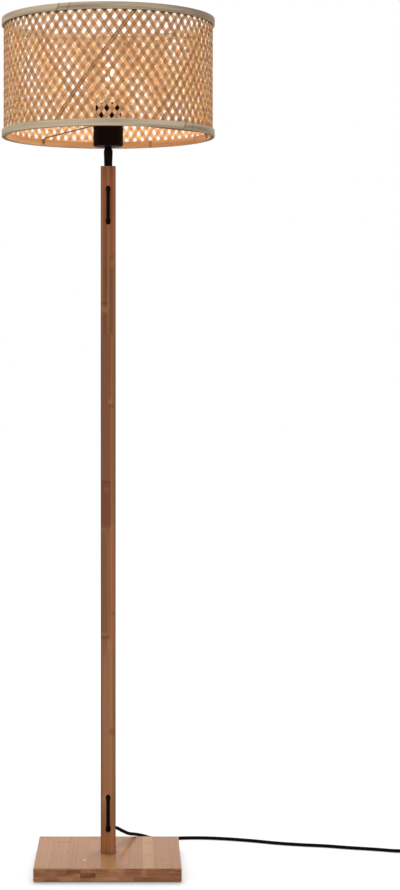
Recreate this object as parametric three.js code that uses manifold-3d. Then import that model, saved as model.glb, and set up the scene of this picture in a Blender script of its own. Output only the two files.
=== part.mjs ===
// Floor lamp: a bamboo pole on a square bamboo foot, a drum shade woven from bamboo strips, and a black
// cable that is stitched through the pole near both of its ends.
// Millimetres, +Z up. The origin is on the floor below the pole's axis, +X is the side where the lead
// leaves, and +Y is the back.
import * as THREE from 'three';
import { mergeVertices } from 'three/addons/utils/BufferGeometryUtils.js';
import Module from 'manifold-3d';

const wasm = await Module();
wasm.setup();

// Clearances and the finest faces
const seat = 0.3; // gap that seated faces keep
const overrun = 2; // how far a cutter runs past the face that it cuts
const weld = 0.0001;
const roundSides = 20;
const smallSides = 12;
const quarterTurn = Math.PI / 2;
const fullTurn = 2 * Math.PI;

// Foot: a glued board on four felt pads
const footSide = 270;
const footThick = 25;
const footEdge = 2;
const footCorner = 3;
const padRadius = 11;
const padHeight = 2;
const padInset = 24;

// Bolts that hold the pole from below
const boltRadius = 2.9;
const boltHeadRadius = 5.5;
const boltHeadHeight = 3.2;
const boltSpacing = 15;
const washerRadius = 7;
const washerThick = 1.2;
const counterboreDepth = 9;
const insertRadius = 4.6;
const insertLength = 16;

// Pole: glued from lamellae round a square channel
const poleSide = 28;
const poleLength = 1287;
const poleEdge = 1.2;
const channelSide = 10.5;
const channelFloor = 90; // solid wood below the channel
const holeRadius = 5;
const holeFromEnd = 44;
const stitchLength = 59;
const exitDrop = 2; // how far the last hole falls from front to back

// Cable, which is also the lead
const cordRadius = 3.25;
const cordSides = 8;
const holeSides = 16;
const stitchBend = 12;
const entryBend = 8;
const bendSteps = 4;

// Neck between the pole and the cup
const topInsertRadius = 7.2;
const topInsertLength = 18;
const tubeRadius = 5;
const tubeWall = 1;
const sleeveHeight = 37;
const sleeveFootRadius = 7.6;
const sleeveShoulderRadius = 8.5;
const sleeveWaistRadius = 6.4;
const sleeveShoulderHeight = 30;
const sleeveWaistHeight = 34;

// Cup and lampholder
const cupRadius = 28;
const cupHeight = 43;
const cupWall = 1.2;
const cupEdge = 1.5;
const cupSides = 24;
const nutAcross = 17;
const nutHeight = 4;
const capHeight = 22;
const capRadius = 19.5;
const capBossRadius = 10;
const capBossHeight = 4;
const capWall = 2.2;
const bodyRadius = 19.7;
const bodyHeight = 50;
const bodyFlangeRadius = 24;
const bodyFlangeThick = 3.5;
const socketDepth = 31;
const shellRadius = 13.9;
const shellWall = 0.4;
const shellHeight = 23;
const contactRadius = 4;
const contactHeight = 2.2;

// Ring that clamps the shade's carrier, with its grip ribs
const ringSkirtRadius = 24;
const ringFlangeRadius = 26.5;
const ringFlangeHeight = 4;
const ringHeight = 34.5;
const ringRibs = 14;
const ringRibDepth = 0.9;

// Shade
const shadeRadius = 200;
const shadeHeight = 221.6;
const shadeDrop = 26.8; // how far the shade hangs below the ring's seat
const hoopHeight = 13;
const hoopThick = 2.8;
const hoopSides = 48;
const weaveStrips = 30; // strips that lean each way
const weaveRows = 8; // rows of crossings up the wall
const stripWidth = 17;
const stripThick = 1.1;

// Wire carrier of the shade
const carrierRingThick = 2;
const carrierRingWidth = 5;
const armCount = 3;
const armStart = THREE.MathUtils.degToRad(12);
const armRadius = 1.25;
const armSides = 6;
const armBend = 7;
const tabWidth = 10;
const tabThick = 1.4;
const tabHeight = 9;

// Bulb
const bulbCapRadius = 13.1;
const bulbCapWall = 0.5;
const bulbCapHeight = 22;
const bulbTipRadius = 4.8;
const bulbTipHeight = 4.5;
const glassRadius = 32;
const glassHeight = 123;
const glassWall = 1;
const glassInCap = 8; // how deep the neck stands in the cap
const stemMastRadius = 2;
const stemHeight = 41;
const wireRadius = 0.6;
const filamentLength = 42;
const filamentRadius = 0.9;
const filamentFootRadius = 5;
const filamentHeadRadius = 11;
const filamentCount = 4;

// Lead: where it lies on the floor, from the pole's back to the switch
const leadSteps = 42;
const leadPoints = [
  [1.5, 31, 66.8],
  [14.5, 52, 61.4],
  [26.6, 76, 50.4],
  [38.4, 106, 38.9],
  [49.2, 135, 31.4],
  [62.6, 163, 23.2],
  [85, 192, 11.2],
  [112, 215, 4.2],
  [144, 228.5, 3.4],
  [191.5, 229, 3.4],
  [238.6, 219, 3.4],
  [285, 202.5, 3.4],
  [331, 182, 3.4],
  [377, 168, 3.4],
  [423, 157.5, 3.4],
  [468, 142, 3.4],
  [513.5, 129, 3.4],
  [558, 113, 3.8],
  [583, 103.9, 6.6],
];

// Foot switch in the lead
const switchPlace = [669, 72.6, 0];
const switchTurn = THREE.MathUtils.degToRad(-20);
const switchLength = 84;
const switchWidth = 44;
const switchHeight = 22;
const switchSplit = 9;
const switchWall = 2;
const switchCorner = 12;
const switchBaseEdge = 1.5;
const switchCoverEdge = 6;
const buttonRadius = 11.4;
const buttonFlangeRadius = 13.2;
const buttonFlangeThick = 1.6;
const buttonTravel = 2.5;
const buttonProud = 1.1; // what stays proud when it is pressed
const buttonDome = buttonTravel + buttonProud;
const buttonCrownShares = [0.75, 0.88];
const blockLength = 30;
const blockWidth = 22;
const blockHeight = 5.5;
const springRadius = 7;
const springWireRadius = 0.4;
const springTurns = 4;
const springStepsEachTurn = 7;
const springSides = 5;

// Tapered strain reliefs
const reliefLength = 24;
const reliefRootRadius = 6.6;
const reliefTipRadius = 4.5;
const reliefNeckRadius = 5.2;
const reliefFlangeRadius = 6.2;
const reliefFlangeThick = 2;

// Coil of the spare lead, with its tie
const coilPlace = [715, -35];
const coilOuterRadius = 43;
const coilPitch = 7.15; // from turn to turn, and from layer to layer
const coilEntry = THREE.MathUtils.degToRad(10);
const coilTurns = 4 + coilEntry / fullTurn;
const coilStepsEachTurn = 24;
const coilSides = 6;
const tieWidth = 10;
const tieThick = 0.8;
const tieCorner = 2.5;

// Free stretches between the switch, the coil and the plug
const linkSteps = 12;
const linkPoints = [
  [744.5, 44.2, 8.4],
  [755, 32, 6.8],
  [760.5, 15, 5.2],
  [760.4, -3, 4.7],
];
const tailSteps = 6;
const tailPoints = [[757.8, -62, 11.2]];
const tailPlace = [757, -86];

// Plug
const plugThick = 13.8;
const plugWidth = 35.2;
const plugLength = 37;
const plugTaper = 10;
const plugEdge = 2.2;
const plugReliefLength = 24;
const pinRadius = 2;
const pinLength = 19;
const pinSeat = 6;
const pinSpacing = 18.6;

// Heights that follow from the sizes above
const footTop = padHeight + seat + footThick;
const poleFoot = footTop + seat;
const poleTop = poleFoot + poleLength;
const sleeveFoot = poleTop + seat;
const cupFoot = sleeveFoot + sleeveHeight + seat;
const cupTop = cupFoot + cupHeight;
const nutFoot = cupFoot + cupWall + seat;
const capFoot = nutFoot + nutHeight + seat;
const bodyFoot = capFoot + capHeight + seat;
const flangeTop = cupTop + seat;
const carrierFoot = flangeTop + seat;
const ringFoot = carrierFoot + carrierRingThick + seat;
const bodyTop = bodyFoot + bodyHeight;
const socketFloor = bodyTop - socketDepth;
const shadeFoot = carrierFoot - shadeDrop;
const bulbFoot = socketFloor + seat + contactHeight + seat;

// Radii of the shade's layers
const facetShare = Math.cos(Math.PI / hoopSides);
const weaveOuter = (shadeRadius - hoopThick) * facetShare - seat;
const weaveInner = weaveOuter - 2 * stripThick;
const innerHoopOuter = weaveInner * Math.cos(Math.PI / weaveStrips / 2) - seat;
const innerHoopInner = innerHoopOuter - hoopThick;

const black = { color: 0x14100d, roughness: 0.45, metalness: 0.1 };
const lacquer = { color: 0x1a1512, roughness: 0.35, metalness: 0.6 };
const jacket = { color: 0x111010, roughness: 0.85, metalness: 0 };
const brass = { color: 0xb08d4c, roughness: 0.35, metalness: 1 };
const steel = { color: 0x9a9a98, roughness: 0.35, metalness: 1 };
const poleWood = { color: 0x8a5a38, roughness: 0.5, metalness: 0 };
const footWood = { color: 0xa87a52, roughness: 0.4, metalness: 0 };
const strip = { color: 0xc9a074, roughness: 0.65, metalness: 0 };
const hoopWood = { color: 0xb09a80, roughness: 0.6, metalness: 0 };
const glass = { color: 0xfff4dc, roughness: 0.05, metalness: 0, transparent: true, opacity: 0.35 };
const glow = { color: 0xffc45c, roughness: 0.5, metalness: 0 };
const felt = { color: 0x5a4a3c, roughness: 1, metalness: 0 };

// A named mesh with a material of its own
function piece(name, geometry, look) {
  geometry.computeVertexNormals();
  const mesh = new THREE.Mesh(geometry, new THREE.MeshStandardMaterial(look));
  mesh.name = name;
  return mesh;
}

function groupOf(...members) {
  const group = new THREE.Group();
  group.add(...members);
  return group;
}

function raised(mesh, height) {
  mesh.position.z = height;
  return mesh;
}

// A closed geometry as a solid for joins and cuts
function solid(geometry) {
  const bare = geometry.index ? geometry.toNonIndexed() : geometry.clone();
  bare.deleteAttribute('normal');
  bare.deleteAttribute('uv');
  const merged = mergeVertices(bare, weld);
  const vertProperties = merged.getAttribute('position').array;
  const triVerts = new Uint32Array(merged.index.array);
  return new wasm.Manifold(new wasm.Mesh({ numProp: 3, vertProperties, triVerts }));
}

function geometryOf(made) {
  const mesh = made.getMesh();
  const geometry = new THREE.BufferGeometry();
  geometry.setAttribute('position', new THREE.BufferAttribute(new Float32Array(mesh.vertProperties), 3));
  geometry.setIndex(new THREE.BufferAttribute(new Uint32Array(mesh.triVerts), 1));
  return geometry.toNonIndexed();
}

function cut(geometry, ...cutters) {
  return geometryOf(cutters.reduce((left, cutter) => left.subtract(solid(cutter)), solid(geometry)));
}

function join(...geometries) {
  return geometryOf(geometries.map(solid).reduce((all, next) => all.add(next)));
}

// A profile of [radius, height] points turned about Z
function turned(profile, sides = roundSides) {
  const points = profile.map(([radius, height]) => new THREE.Vector2(radius, height));
  return new THREE.LatheGeometry(points, sides).rotateX(quarterTurn);
}

// A turned piece whose profile closes on itself, clear of the axis
function turnedRing(profile, sides = roundSides) {
  return turned([...profile, profile[0]], sides);
}

function disc(radius, foot, top, sides = roundSides) {
  return turned([[0, foot], [radius, foot], [radius, top], [0, top]], sides);
}

// A straight round bar between two points
function bar(radius, from, to, sides = smallSides) {
  const along = new THREE.Vector3().subVectors(to, from);
  const geometry = new THREE.CylinderGeometry(radius, radius, along.length(), sides);
  const axis = along.clone().normalize();
  const turn = new THREE.Quaternion().setFromUnitVectors(new THREE.Vector3(0, 1, 0), axis);
  const middle = from.clone().addScaledVector(along, 0.5);
  return geometry.applyQuaternion(turn).translate(...middle.toArray());
}

function roundedRectangle(width, depth, corner) {
  const x = width / 2;
  const y = depth / 2;
  const outline = new THREE.Shape();
  outline.absarc(x - corner, y - corner, corner, 0, quarterTurn);
  outline.absarc(corner - x, y - corner, corner, quarterTurn, 2 * quarterTurn);
  outline.absarc(corner - x, corner - y, corner, 2 * quarterTurn, 3 * quarterTurn);
  outline.absarc(x - corner, corner - y, corner, 3 * quarterTurn, 4 * quarterTurn);
  return outline;
}

// An outline raised into a slab whose edges are rounded, with its foot at height zero
function slab(outline, height, edge, edgeSteps = 2, curveSegments = 3) {
  return new THREE.ExtrudeGeometry(outline, {
    depth: height - 2 * edge,
    bevelThickness: edge,
    bevelSize: edge,
    bevelOffset: -edge,
    bevelSegments: edgeSteps,
    curveSegments,
  }).translate(0, 0, edge);
}

function block(low, high) {
  const size = new THREE.Vector3().subVectors(high, low);
  const middle = new THREE.Vector3().addVectors(high, low).multiplyScalar(0.5);
  return new THREE.BoxGeometry(...size.toArray()).translate(...middle.toArray());
}

const at = (x, y, z) => new THREE.Vector3(x, y, z);

// A curve that passes through its stations, one for each ring of the tube along it
class StationCurve extends THREE.Curve {
  constructor(stations) {
    super();
    this.stations = stations;
  }

  getPointAt(share) {
    return this.stations[Math.round(share * (this.stations.length - 1))].clone();
  }

  getTangentAt(share) {
    const index = Math.round(share * (this.stations.length - 1));
    const before = this.stations[Math.max(index - 1, 0)];
    const after = this.stations[Math.min(index + 1, this.stations.length - 1)];
    const here = this.stations[index];
    const back = here.clone().sub(before).normalize();
    const ahead = after.clone().sub(here).normalize();
    return back.add(ahead).normalize();
  }
}

function tube(stations, radius, sides) {
  const corners = Array.from({ length: sides }, (_, i) => {
    const angle = (i * fullTurn) / sides;
    return new THREE.Vector2(radius * Math.cos(angle), radius * Math.sin(angle));
  });
  return new THREE.ExtrudeGeometry(new THREE.Shape(corners), {
    extrudePath: new StationCurve(stations),
    steps: stations.length - 1,
    bevelEnabled: false,
  });
}

// Stations along straight runs whose corners are bent to arcs
function bentRoute(corners, radii) {
  const stations = [corners[0]];
  for (let i = 1; i < corners.length - 1; i += 1) {
    const back = corners[i - 1].clone().sub(corners[i]).normalize();
    const ahead = corners[i + 1].clone().sub(corners[i]).normalize();
    const half = back.angleTo(ahead) / 2;
    const inward = back.clone().add(ahead).normalize();
    const centre = corners[i].clone().addScaledVector(inward, radii[i - 1] / Math.sin(half));
    const first = corners[i].clone().addScaledVector(back, radii[i - 1] / Math.tan(half)).sub(centre);
    const last = corners[i].clone().addScaledVector(ahead, radii[i - 1] / Math.tan(half)).sub(centre);
    const sweep = Math.PI - 2 * half;
    for (let step = 0; step <= bendSteps; step += 1) {
      const angle = (sweep * step) / bendSteps;
      stations.push(
        centre.clone()
          .addScaledVector(first, Math.sin(sweep - angle) / Math.sin(sweep))
          .addScaledVector(last, Math.sin(angle) / Math.sin(sweep)),
      );
    }
  }
  return [...stations, corners[corners.length - 1]];
}

// Evenly spaced stations on one smooth curve through the points
function smoothRoute(points, steps) {
  return new THREE.CatmullRomCurve3(points, false, 'centripetal').getSpacedPoints(steps);
}

// Foot board with its pads, and the bolts and inserts that hold the pole
function makeFoot() {
  const boltAt = [-boltSpacing / 2, boltSpacing / 2];
  const boltSeat = padHeight + seat + counterboreDepth;
  const cutters = boltAt.flatMap((x) => [
    disc(washerRadius + seat, 0, boltSeat, smallSides).translate(x, 0, 0),
    disc(boltRadius + seat, 0, footTop + overrun, smallSides).translate(x, 0, 0),
  ]);
  const outline = roundedRectangle(footSide, footSide, footCorner);
  const board = slab(outline, footThick, footEdge).translate(0, 0, padHeight + seat);
  const foot = groupOf(piece('foot_board', cut(board, ...cutters), footWood));
  const corner = footSide / 2 - padInset;
  [[-1, -1], [1, -1], [1, 1], [-1, 1]].forEach(([x, y], i) => {
    const pad = piece(`foot_pad_${i + 1}`, disc(padRadius, 0, padHeight, smallSides), felt);
    pad.position.set(x * corner, y * corner, 0);
    foot.add(pad);
  });
  boltAt.forEach((x, i) => {
    const washerFoot = boltSeat - seat - washerThick;
    const headTop = washerFoot - seat;
    const shankTop = poleFoot + insertLength - seat;
    const bolt = turned([
      [0, headTop - boltHeadHeight],
      [boltHeadRadius - footEdge, headTop - boltHeadHeight],
      [boltHeadRadius, headTop - boltHeadHeight / 2],
      [boltHeadRadius, headTop],
      [boltRadius, headTop],
      [boltRadius, shankTop],
      [0, shankTop],
    ], smallSides);
    const hole = boltRadius + seat;
    const washer = turnedRing([
      [hole, washerFoot],
      [washerRadius, washerFoot],
      [washerRadius, washerFoot + washerThick],
      [hole, washerFoot + washerThick],
    ], smallSides);
    const insert = turnedRing([
      [hole, poleFoot],
      [insertRadius, poleFoot],
      [insertRadius, poleFoot + insertLength],
      [hole, poleFoot + insertLength],
    ], smallSides);
    [[`foot_bolt_${i + 1}`, bolt, steel], [`foot_washer_${i + 1}`, washer, steel],
      [`pole_insert_${i + 1}`, insert, brass]].forEach(([name, geometry, look]) => {
      const mesh = piece(name, geometry, look);
      mesh.position.x = x;
      foot.add(mesh);
    });
  });
  return foot;
}

// The cable's route in the pole: down the channel, out to the front and back in near each end
const half = poleSide / 2;
const proud = half + seat + cordRadius;
const upperHole = poleTop - holeFromEnd;
const lowerHole = poleFoot + holeFromEnd;
const exitSlope = exitDrop / poleSide;

function cableCorners() {
  const middle = [upperHole - stitchLength, lowerHole + stitchLength];
  const end = half + seat;
  return [
    at(0, 0, bodyFoot - capHeight / 2),
    at(0, 0, upperHole + half),
    at(0, -proud, upperHole + half - proud),
    at(0, -proud, middle[0] + proud - half),
    at(0, 0, middle[0] - half),
    at(0, 0, middle[1] + half),
    at(0, -proud, middle[1] + half - proud),
    at(0, -proud, lowerHole + exitSlope * (proud - half)),
    at(0, end, lowerHole - exitSlope * (end + half)),
  ];
}

function makeCable() {
  const radii = [stitchBend, stitchBend, stitchBend, stitchBend, stitchBend, stitchBend, entryBend];
  const cable = tube(bentRoute(cableCorners(), radii), cordRadius, cordSides);
  return groupOf(piece('pole_cable', cable, jacket));
}

// Pole with its channel, four front holes and the hole at the back that the lead leaves
function makePole() {
  const outline = roundedRectangle(poleSide, poleSide, poleEdge);
  const body = slab(outline, poleLength, poleEdge / 2, 1, 2).translate(0, 0, poleFoot);
  const side = channelSide / 2;
  const channel = block(at(-side, -side, poleFoot + channelFloor), at(side, side, poleTop + overrun));
  const reach = proud + holeRadius;
  const slant = (height, rise) => {
    const mouth = at(0, -reach, height + rise * reach);
    return bar(holeRadius, at(0, 0, height), mouth, holeSides);
  };
  const slanted = [
    slant(upperHole + half, -1),
    slant(upperHole - stitchLength - half, 1),
    slant(lowerHole + stitchLength + half, -1),
  ];
  const past = half + overrun;
  const onExit = (y) => at(0, y, lowerHole - exitSlope * (y + half));
  const entry = bar(holeRadius, onExit(-past), onExit(0), holeSides);
  const exit = bar(cordRadius + seat, onExit(-overrun), onExit(past), holeSides);
  const leadIn = at(0, holeRadius / 2 - half, lowerHole);
  const countersink = bar(holeRadius, leadIn, leadIn.clone().add(at(0, -reach, reach)), holeSides);
  const topSeat = disc(topInsertRadius + seat, poleTop - topInsertLength - seat, poleTop + overrun);
  const insertSeat = disc(insertRadius + seat, poleFoot - overrun, poleFoot + insertLength + seat, smallSides);
  const insertSeats = [-boltSpacing / 2, boltSpacing / 2].map((x) => insertSeat.clone().translate(x, 0, 0));
  const cutters = [channel, ...slanted, entry, exit, countersink, topSeat, ...insertSeats];
  return groupOf(piece('pole', cut(body, ...cutters), poleWood));
}

// Insert, threaded tube and tapered sleeve
function makeNeck() {
  const bore = tubeRadius + seat;
  const insertFoot = poleTop - topInsertLength;
  const insert = turnedRing([
    [bore, insertFoot],
    [topInsertRadius, insertFoot],
    [topInsertRadius, poleTop],
    [bore, poleTop],
  ], smallSides);
  const tubeTop = capFoot + capBossHeight + capWall;
  const threaded = turnedRing([
    [tubeRadius - tubeWall, insertFoot],
    [tubeRadius, insertFoot],
    [tubeRadius, tubeTop],
    [tubeRadius - tubeWall, tubeTop],
  ], smallSides);
  const sleeve = turnedRing([
    [bore, 0],
    [sleeveFootRadius, 0],
    [sleeveShoulderRadius, sleeveShoulderHeight],
    [sleeveWaistRadius, sleeveWaistHeight],
    [sleeveWaistRadius, sleeveHeight],
    [bore, sleeveHeight],
  ]);
  return groupOf(
    piece('pole_top_insert', insert, brass),
    piece('neck_tube', threaded, steel),
    raised(piece('neck_sleeve', sleeve, lacquer), sleeveFoot),
  );
}

// Cup and the lampholder in it
function makeHolder() {
  const bore = tubeRadius + seat;
  const cup = turnedRing([
    [bore, 0],
    [cupRadius - cupEdge, 0],
    [cupRadius, cupEdge],
    [cupRadius, cupHeight],
    [cupRadius - cupWall, cupHeight],
    [cupRadius - cupWall, cupWall],
    [bore, cupWall],
  ], cupSides);
  const nutRadius = nutAcross / 2 / Math.cos(Math.PI / 6);
  const nut = cut(disc(nutRadius, 0, nutHeight, 6), disc(bore, -overrun, nutHeight + overrun, smallSides));
  const slope = capRadius - capBossRadius;
  const cap = turnedRing([
    [bore, 0],
    [capBossRadius, 0],
    [capBossRadius, capBossHeight],
    [capRadius, capBossHeight + slope / 2],
    [capRadius, capHeight],
    [capRadius - capWall, capHeight],
    [capRadius - capWall, capBossHeight + capWall + slope / 2],
    [capBossRadius, capBossHeight + capWall],
    [bore, capBossHeight + capWall],
  ], smallSides);
  const flangeFoot = flangeTop - bodyFlangeThick - bodyFoot;
  const flangeHead = flangeTop - bodyFoot;
  const floor = socketFloor - bodyFoot;
  const socket = shellRadius + seat;
  const body = turned([
    [0, 0],
    [bodyRadius, 0],
    [bodyRadius, flangeFoot],
    [bodyFlangeRadius, flangeFoot],
    [bodyFlangeRadius, flangeHead],
    [bodyRadius, flangeHead],
    [bodyRadius, bodyHeight],
    [socket, bodyHeight],
    [socket, floor],
    [0, floor],
  ]);
  const shellFoot = socketFloor + seat;
  const shell = turnedRing([
    [shellRadius - shellWall, shellFoot],
    [shellRadius, shellFoot],
    [shellRadius, shellFoot + shellHeight],
    [shellRadius - shellWall, shellFoot + shellHeight],
  ]);
  const contact = turned([
    [0, 0],
    [contactRadius, 0],
    [contactRadius, contactHeight / 2],
    [contactRadius / 2, contactHeight],
    [0, contactHeight],
  ], smallSides);
  return groupOf(
    raised(piece('holder_cup', cup, lacquer), cupFoot),
    raised(piece('cup_nut', nut, steel), nutFoot),
    raised(piece('holder_cap', cap, black), capFoot),
    raised(piece('holder_body', body, black), bodyFoot),
    piece('holder_thread_shell', shell, brass),
    raised(piece('holder_contact', contact, brass), socketFloor + seat),
  );
}

// Clamp ring with ribs round its skirt
function makeClampRing() {
  const bore = bodyRadius + seat;
  const skirt = turnedRing([
    [bore, 0],
    [ringFlangeRadius, 0],
    [ringFlangeRadius, ringFlangeHeight],
    [ringSkirtRadius - ringRibDepth, ringFlangeHeight],
    [ringSkirtRadius - ringRibDepth, ringHeight],
    [bore, ringHeight],
  ]);
  const ribs = Array.from({ length: ringRibs }, (_, i) => {
    const rib = block(
      at(ringSkirtRadius - 2 * ringRibDepth, -ringRibDepth, ringFlangeHeight / 2),
      at(ringSkirtRadius, ringRibDepth, ringHeight - ringRibDepth),
    );
    return rib.rotateZ((i * fullTurn) / ringRibs);
  });
  return raised(piece('shade_ring', join(skirt, ...ribs), black), ringFoot);
}

// Carrier of the shade: a ring with three wire arms that end in tabs against the inner hoop
function makeCarrier() {
  const inner = bodyRadius + seat;
  const ring = turnedRing([
    [inner, 0],
    [inner + carrierRingWidth, 0],
    [inner + carrierRingWidth, carrierRingThick],
    [inner, carrierRingThick],
  ]);
  const wall = innerHoopInner * facetShare - seat;
  const tabTop = shadeFoot + hoopHeight - carrierFoot;
  const arms = Array.from({ length: armCount }, (_, i) => {
    const wireAt = wall - tabThick / 2;
    const wire = tube(bentRoute([
      at(inner + carrierRingWidth / 2, 0, carrierRingThick / 2),
      at(wireAt, 0, tabTop + armRadius),
      at(wireAt, 0, tabTop - tabHeight),
    ], [armBend]), armRadius, armSides);
    const tab = block(at(wall - tabThick, -tabWidth / 2, tabTop - tabHeight), at(wall, tabWidth / 2, tabTop));
    const trimTop = at(wall + tabWidth, tabWidth, tabTop + tabHeight);
    const trim = block(at(wall, -tabWidth, tabTop - 2 * tabHeight), trimTop);
    const turn = THREE.MathUtils.radToDeg(armStart + (i * fullTurn) / armCount);
    return solid(wire).add(solid(tab)).subtract(solid(trim)).rotate([0, 0, turn]);
  });
  const joined = arms.reduce((all, arm) => all.add(arm), solid(ring));
  return raised(piece('shade_carrier', geometryOf(joined), steel), carrierFoot);
}

function hoop(name, inner, outer, foot) {
  const band = turnedRing([
    [inner, 0],
    [outer, 0],
    [outer, hoopHeight],
    [inner, hoopHeight],
  ], hoopSides);
  return raised(piece(name, band, hoopWood), foot);
}

// The woven wall as one closed lattice. Strips lean both ways round the drum. At each crossing one strip
// lies outside and the other inside, and they change places at the next row, as in a plain weave.
function wovenWall() {
  const low = seat;
  const high = shadeHeight - seat;
  const firstRow = hoopHeight / 2;
  const rowStep = (shadeHeight - hoopHeight) / (weaveRows - 1);
  const columnStep = fullTurn / weaveStrips;
  const radius = weaveOuter - stripThick;
  const lean = Math.atan2(rowStep, (columnStep * radius) / 2);
  const across = stripWidth / 2 / Math.sin(lean) / radius;
  const up = stripWidth / 2 / Math.cos(lean);
  const levels = [weaveInner, radius, weaveOuter];
  const positions = [];
  for (let row = 0; row < weaveRows; row += 1) {
    for (let column = 0; column < weaveStrips; column += 1) {
      const angle = (column + (row % 2) / 2) * columnStep;
      const height = firstRow + row * rowStep;
      [[across, 0], [0, up], [-across, 0], [0, -up]].forEach(([turn, rise]) => {
        const z = THREE.MathUtils.clamp(height + rise, low, high);
        levels.forEach((level) => {
          positions.push(level * Math.cos(angle + turn), level * Math.sin(angle + turn), z);
        });
      });
    }
  }
  const faces = [];
  const vertex = (row, column, corner, level) => {
    const wrapped = (column + weaveStrips) % weaveStrips;
    return ((row * weaveStrips + wrapped) * 4 + (corner % 4)) * levels.length + level;
  };
  const quad = (a, b, c, d) => faces.push(a, b, c, a, c, d);
  const outside = (row, leansRight) => ((row % 2 === 0) === leansRight ? 1 : 0);

  // A strip from one crossing to the next row's, between two corners of each
  const strand = (row, column, leansRight) => {
    const next = column + (row % 2) - (leansRight ? 0 : 1);
    const from = outside(row, leansRight);
    const to = outside(row + 1, leansRight);
    const [rightFrom, leftFrom] = leansRight ? [0, 1] : [1, 2];
    const [rightTo, leftTo] = leansRight ? [3, 2] : [0, 3];
    const a = (level) => vertex(row, column, rightFrom, from + level);
    const b = (level) => vertex(row + 1, next, rightTo, to + level);
    const c = (level) => vertex(row + 1, next, leftTo, to + level);
    const d = (level) => vertex(row, column, leftFrom, from + level);
    quad(a(1), b(1), c(1), d(1));
    quad(a(0), d(0), c(0), b(0));
    quad(b(1), a(1), a(0), b(0));
    quad(d(1), c(1), c(0), d(0));
  };

  // A crossing's faces, with the half walls that no strip covers
  const crossing = (row, column) => {
    const point = (k, level) => vertex(row, column, k, level);
    quad(point(0, 2), point(1, 2), point(2, 2), point(3, 2));
    quad(point(3, 0), point(2, 0), point(1, 0), point(0, 0));
    for (let side = 0; side < 4; side += 1) {
      const upwards = side < 2;
      const leansRight = side % 2 === 0;
      const bare = upwards ? row === weaveRows - 1 : row === 0;
      const covered = bare ? -1 : outside(row, leansRight);
      const open = [0, 1].filter((layer) => layer !== covered);
      open.forEach((layer) => {
        quad(point(side + 1, layer + 1), point(side, layer + 1), point(side, layer), point(side + 1, layer));
      });
    }
  };

  for (let row = 0; row < weaveRows; row += 1) {
    for (let column = 0; column < weaveStrips; column += 1) {
      crossing(row, column);
      if (row < weaveRows - 1) {
        strand(row, column, true);
        strand(row, column, false);
      }
    }
  }
  const geometry = new THREE.BufferGeometry();
  geometry.setAttribute('position', new THREE.Float32BufferAttribute(positions, 3));
  geometry.setIndex(faces);
  return geometry.toNonIndexed();
}

function makeShade() {
  const topHoop = shadeHeight - hoopHeight;
  const wall = groupOf(
    hoop('bottom_outer_hoop', shadeRadius - hoopThick, shadeRadius, 0),
    hoop('bottom_inner_hoop', innerHoopInner, innerHoopOuter, 0),
    hoop('top_outer_hoop', shadeRadius - hoopThick, shadeRadius, topHoop),
    hoop('top_inner_hoop', innerHoopInner, innerHoopOuter, topHoop),
    piece('shade_weave', wovenWall(), strip),
  );
  wall.position.z = shadeFoot;
  return groupOf(wall, makeCarrier(), makeClampRing());
}

// Bulb: cap, envelope, glass stem and the cage of filaments. The outline's shares are of the way from the
// neck's radius to the widest one, and of the height.
const glassOutlineShares = [
  [0, 0],
  [0.01, 0.1],
  [0.24, 0.25],
  [0.68, 0.44],
  [1, 0.67],
  [0.9, 0.83],
  [0.52, 0.95],
];
const glassSteps = 8;
const glassSides = 16;
const bulbRim = bulbTipHeight + bulbCapHeight;
const glassFoot = bulbRim - glassInCap;
const glassNeck = bulbCapRadius - bulbCapWall - seat;

function glassOutline(neck, widest, height) {
  const knots = glassOutlineShares.map(([out, up]) =>
    new THREE.Vector2(neck + out * (widest - neck), up * height));
  knots.push(new THREE.Vector2(0, height));
  const points = new THREE.SplineCurve(knots).getPoints(glassSteps);
  return points.map((p, i) => [i === glassSteps ? 0 : p.x, p.y]);
}

function makeFilaments() {
  const foot = stemHeight + seat;
  const head = foot + wireRadius + filamentLength;
  const carrier = disc(filamentFootRadius + filamentRadius, foot, foot + 2 * wireRadius, smallSides);
  const rods = Array.from({ length: filamentCount }, (_, i) => {
    const angle = ((i + 1 / 2) * fullTurn) / filamentCount;
    const place = (radius, height) => at(radius * Math.cos(angle), radius * Math.sin(angle), height);
    const top = place(filamentHeadRadius, head);
    return [
      bar(filamentRadius, place(filamentFootRadius, foot + wireRadius), top, armSides),
      bar(wireRadius, at(0, 0, head + wireRadius), top, armSides),
    ];
  });
  return join(carrier, ...rods.flat());
}

function makeBulb() {
  const inside = bulbCapRadius - bulbCapWall;
  const cap = turned([
    [0, 0],
    [bulbTipRadius, 0],
    [bulbTipRadius, bulbTipHeight / 2],
    [bulbCapRadius, bulbTipHeight],
    [bulbCapRadius, bulbRim],
    [inside, bulbRim],
    [inside, glassFoot - seat],
    [0, glassFoot - seat],
  ]);
  const outer = glassOutline(glassNeck, glassRadius, glassHeight);
  const inner = glassOutline(glassNeck - glassWall, glassRadius - glassWall, glassHeight - glassWall);
  const flare = glassNeck - glassWall - seat;
  const stem = turned([
    [0, 0],
    [flare, 0],
    [flare, stemMastRadius],
    [2 * stemMastRadius, stemHeight / 3],
    [stemMastRadius, stemHeight / 2],
    [stemMastRadius, stemHeight],
    [0, stemHeight],
  ], smallSides);
  const envelope = groupOf(
    piece('bulb_glass', turned([...inner.reverse(), ...outer], glassSides), glass),
    piece('bulb_stem', stem, glass),
    piece('bulb_filaments', makeFilaments(), glow),
  );
  envelope.position.z = glassFoot;
  const bulb = groupOf(piece('bulb_cap', cap, brass), envelope);
  bulb.position.z = bulbFoot;
  return bulb;
}

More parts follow.
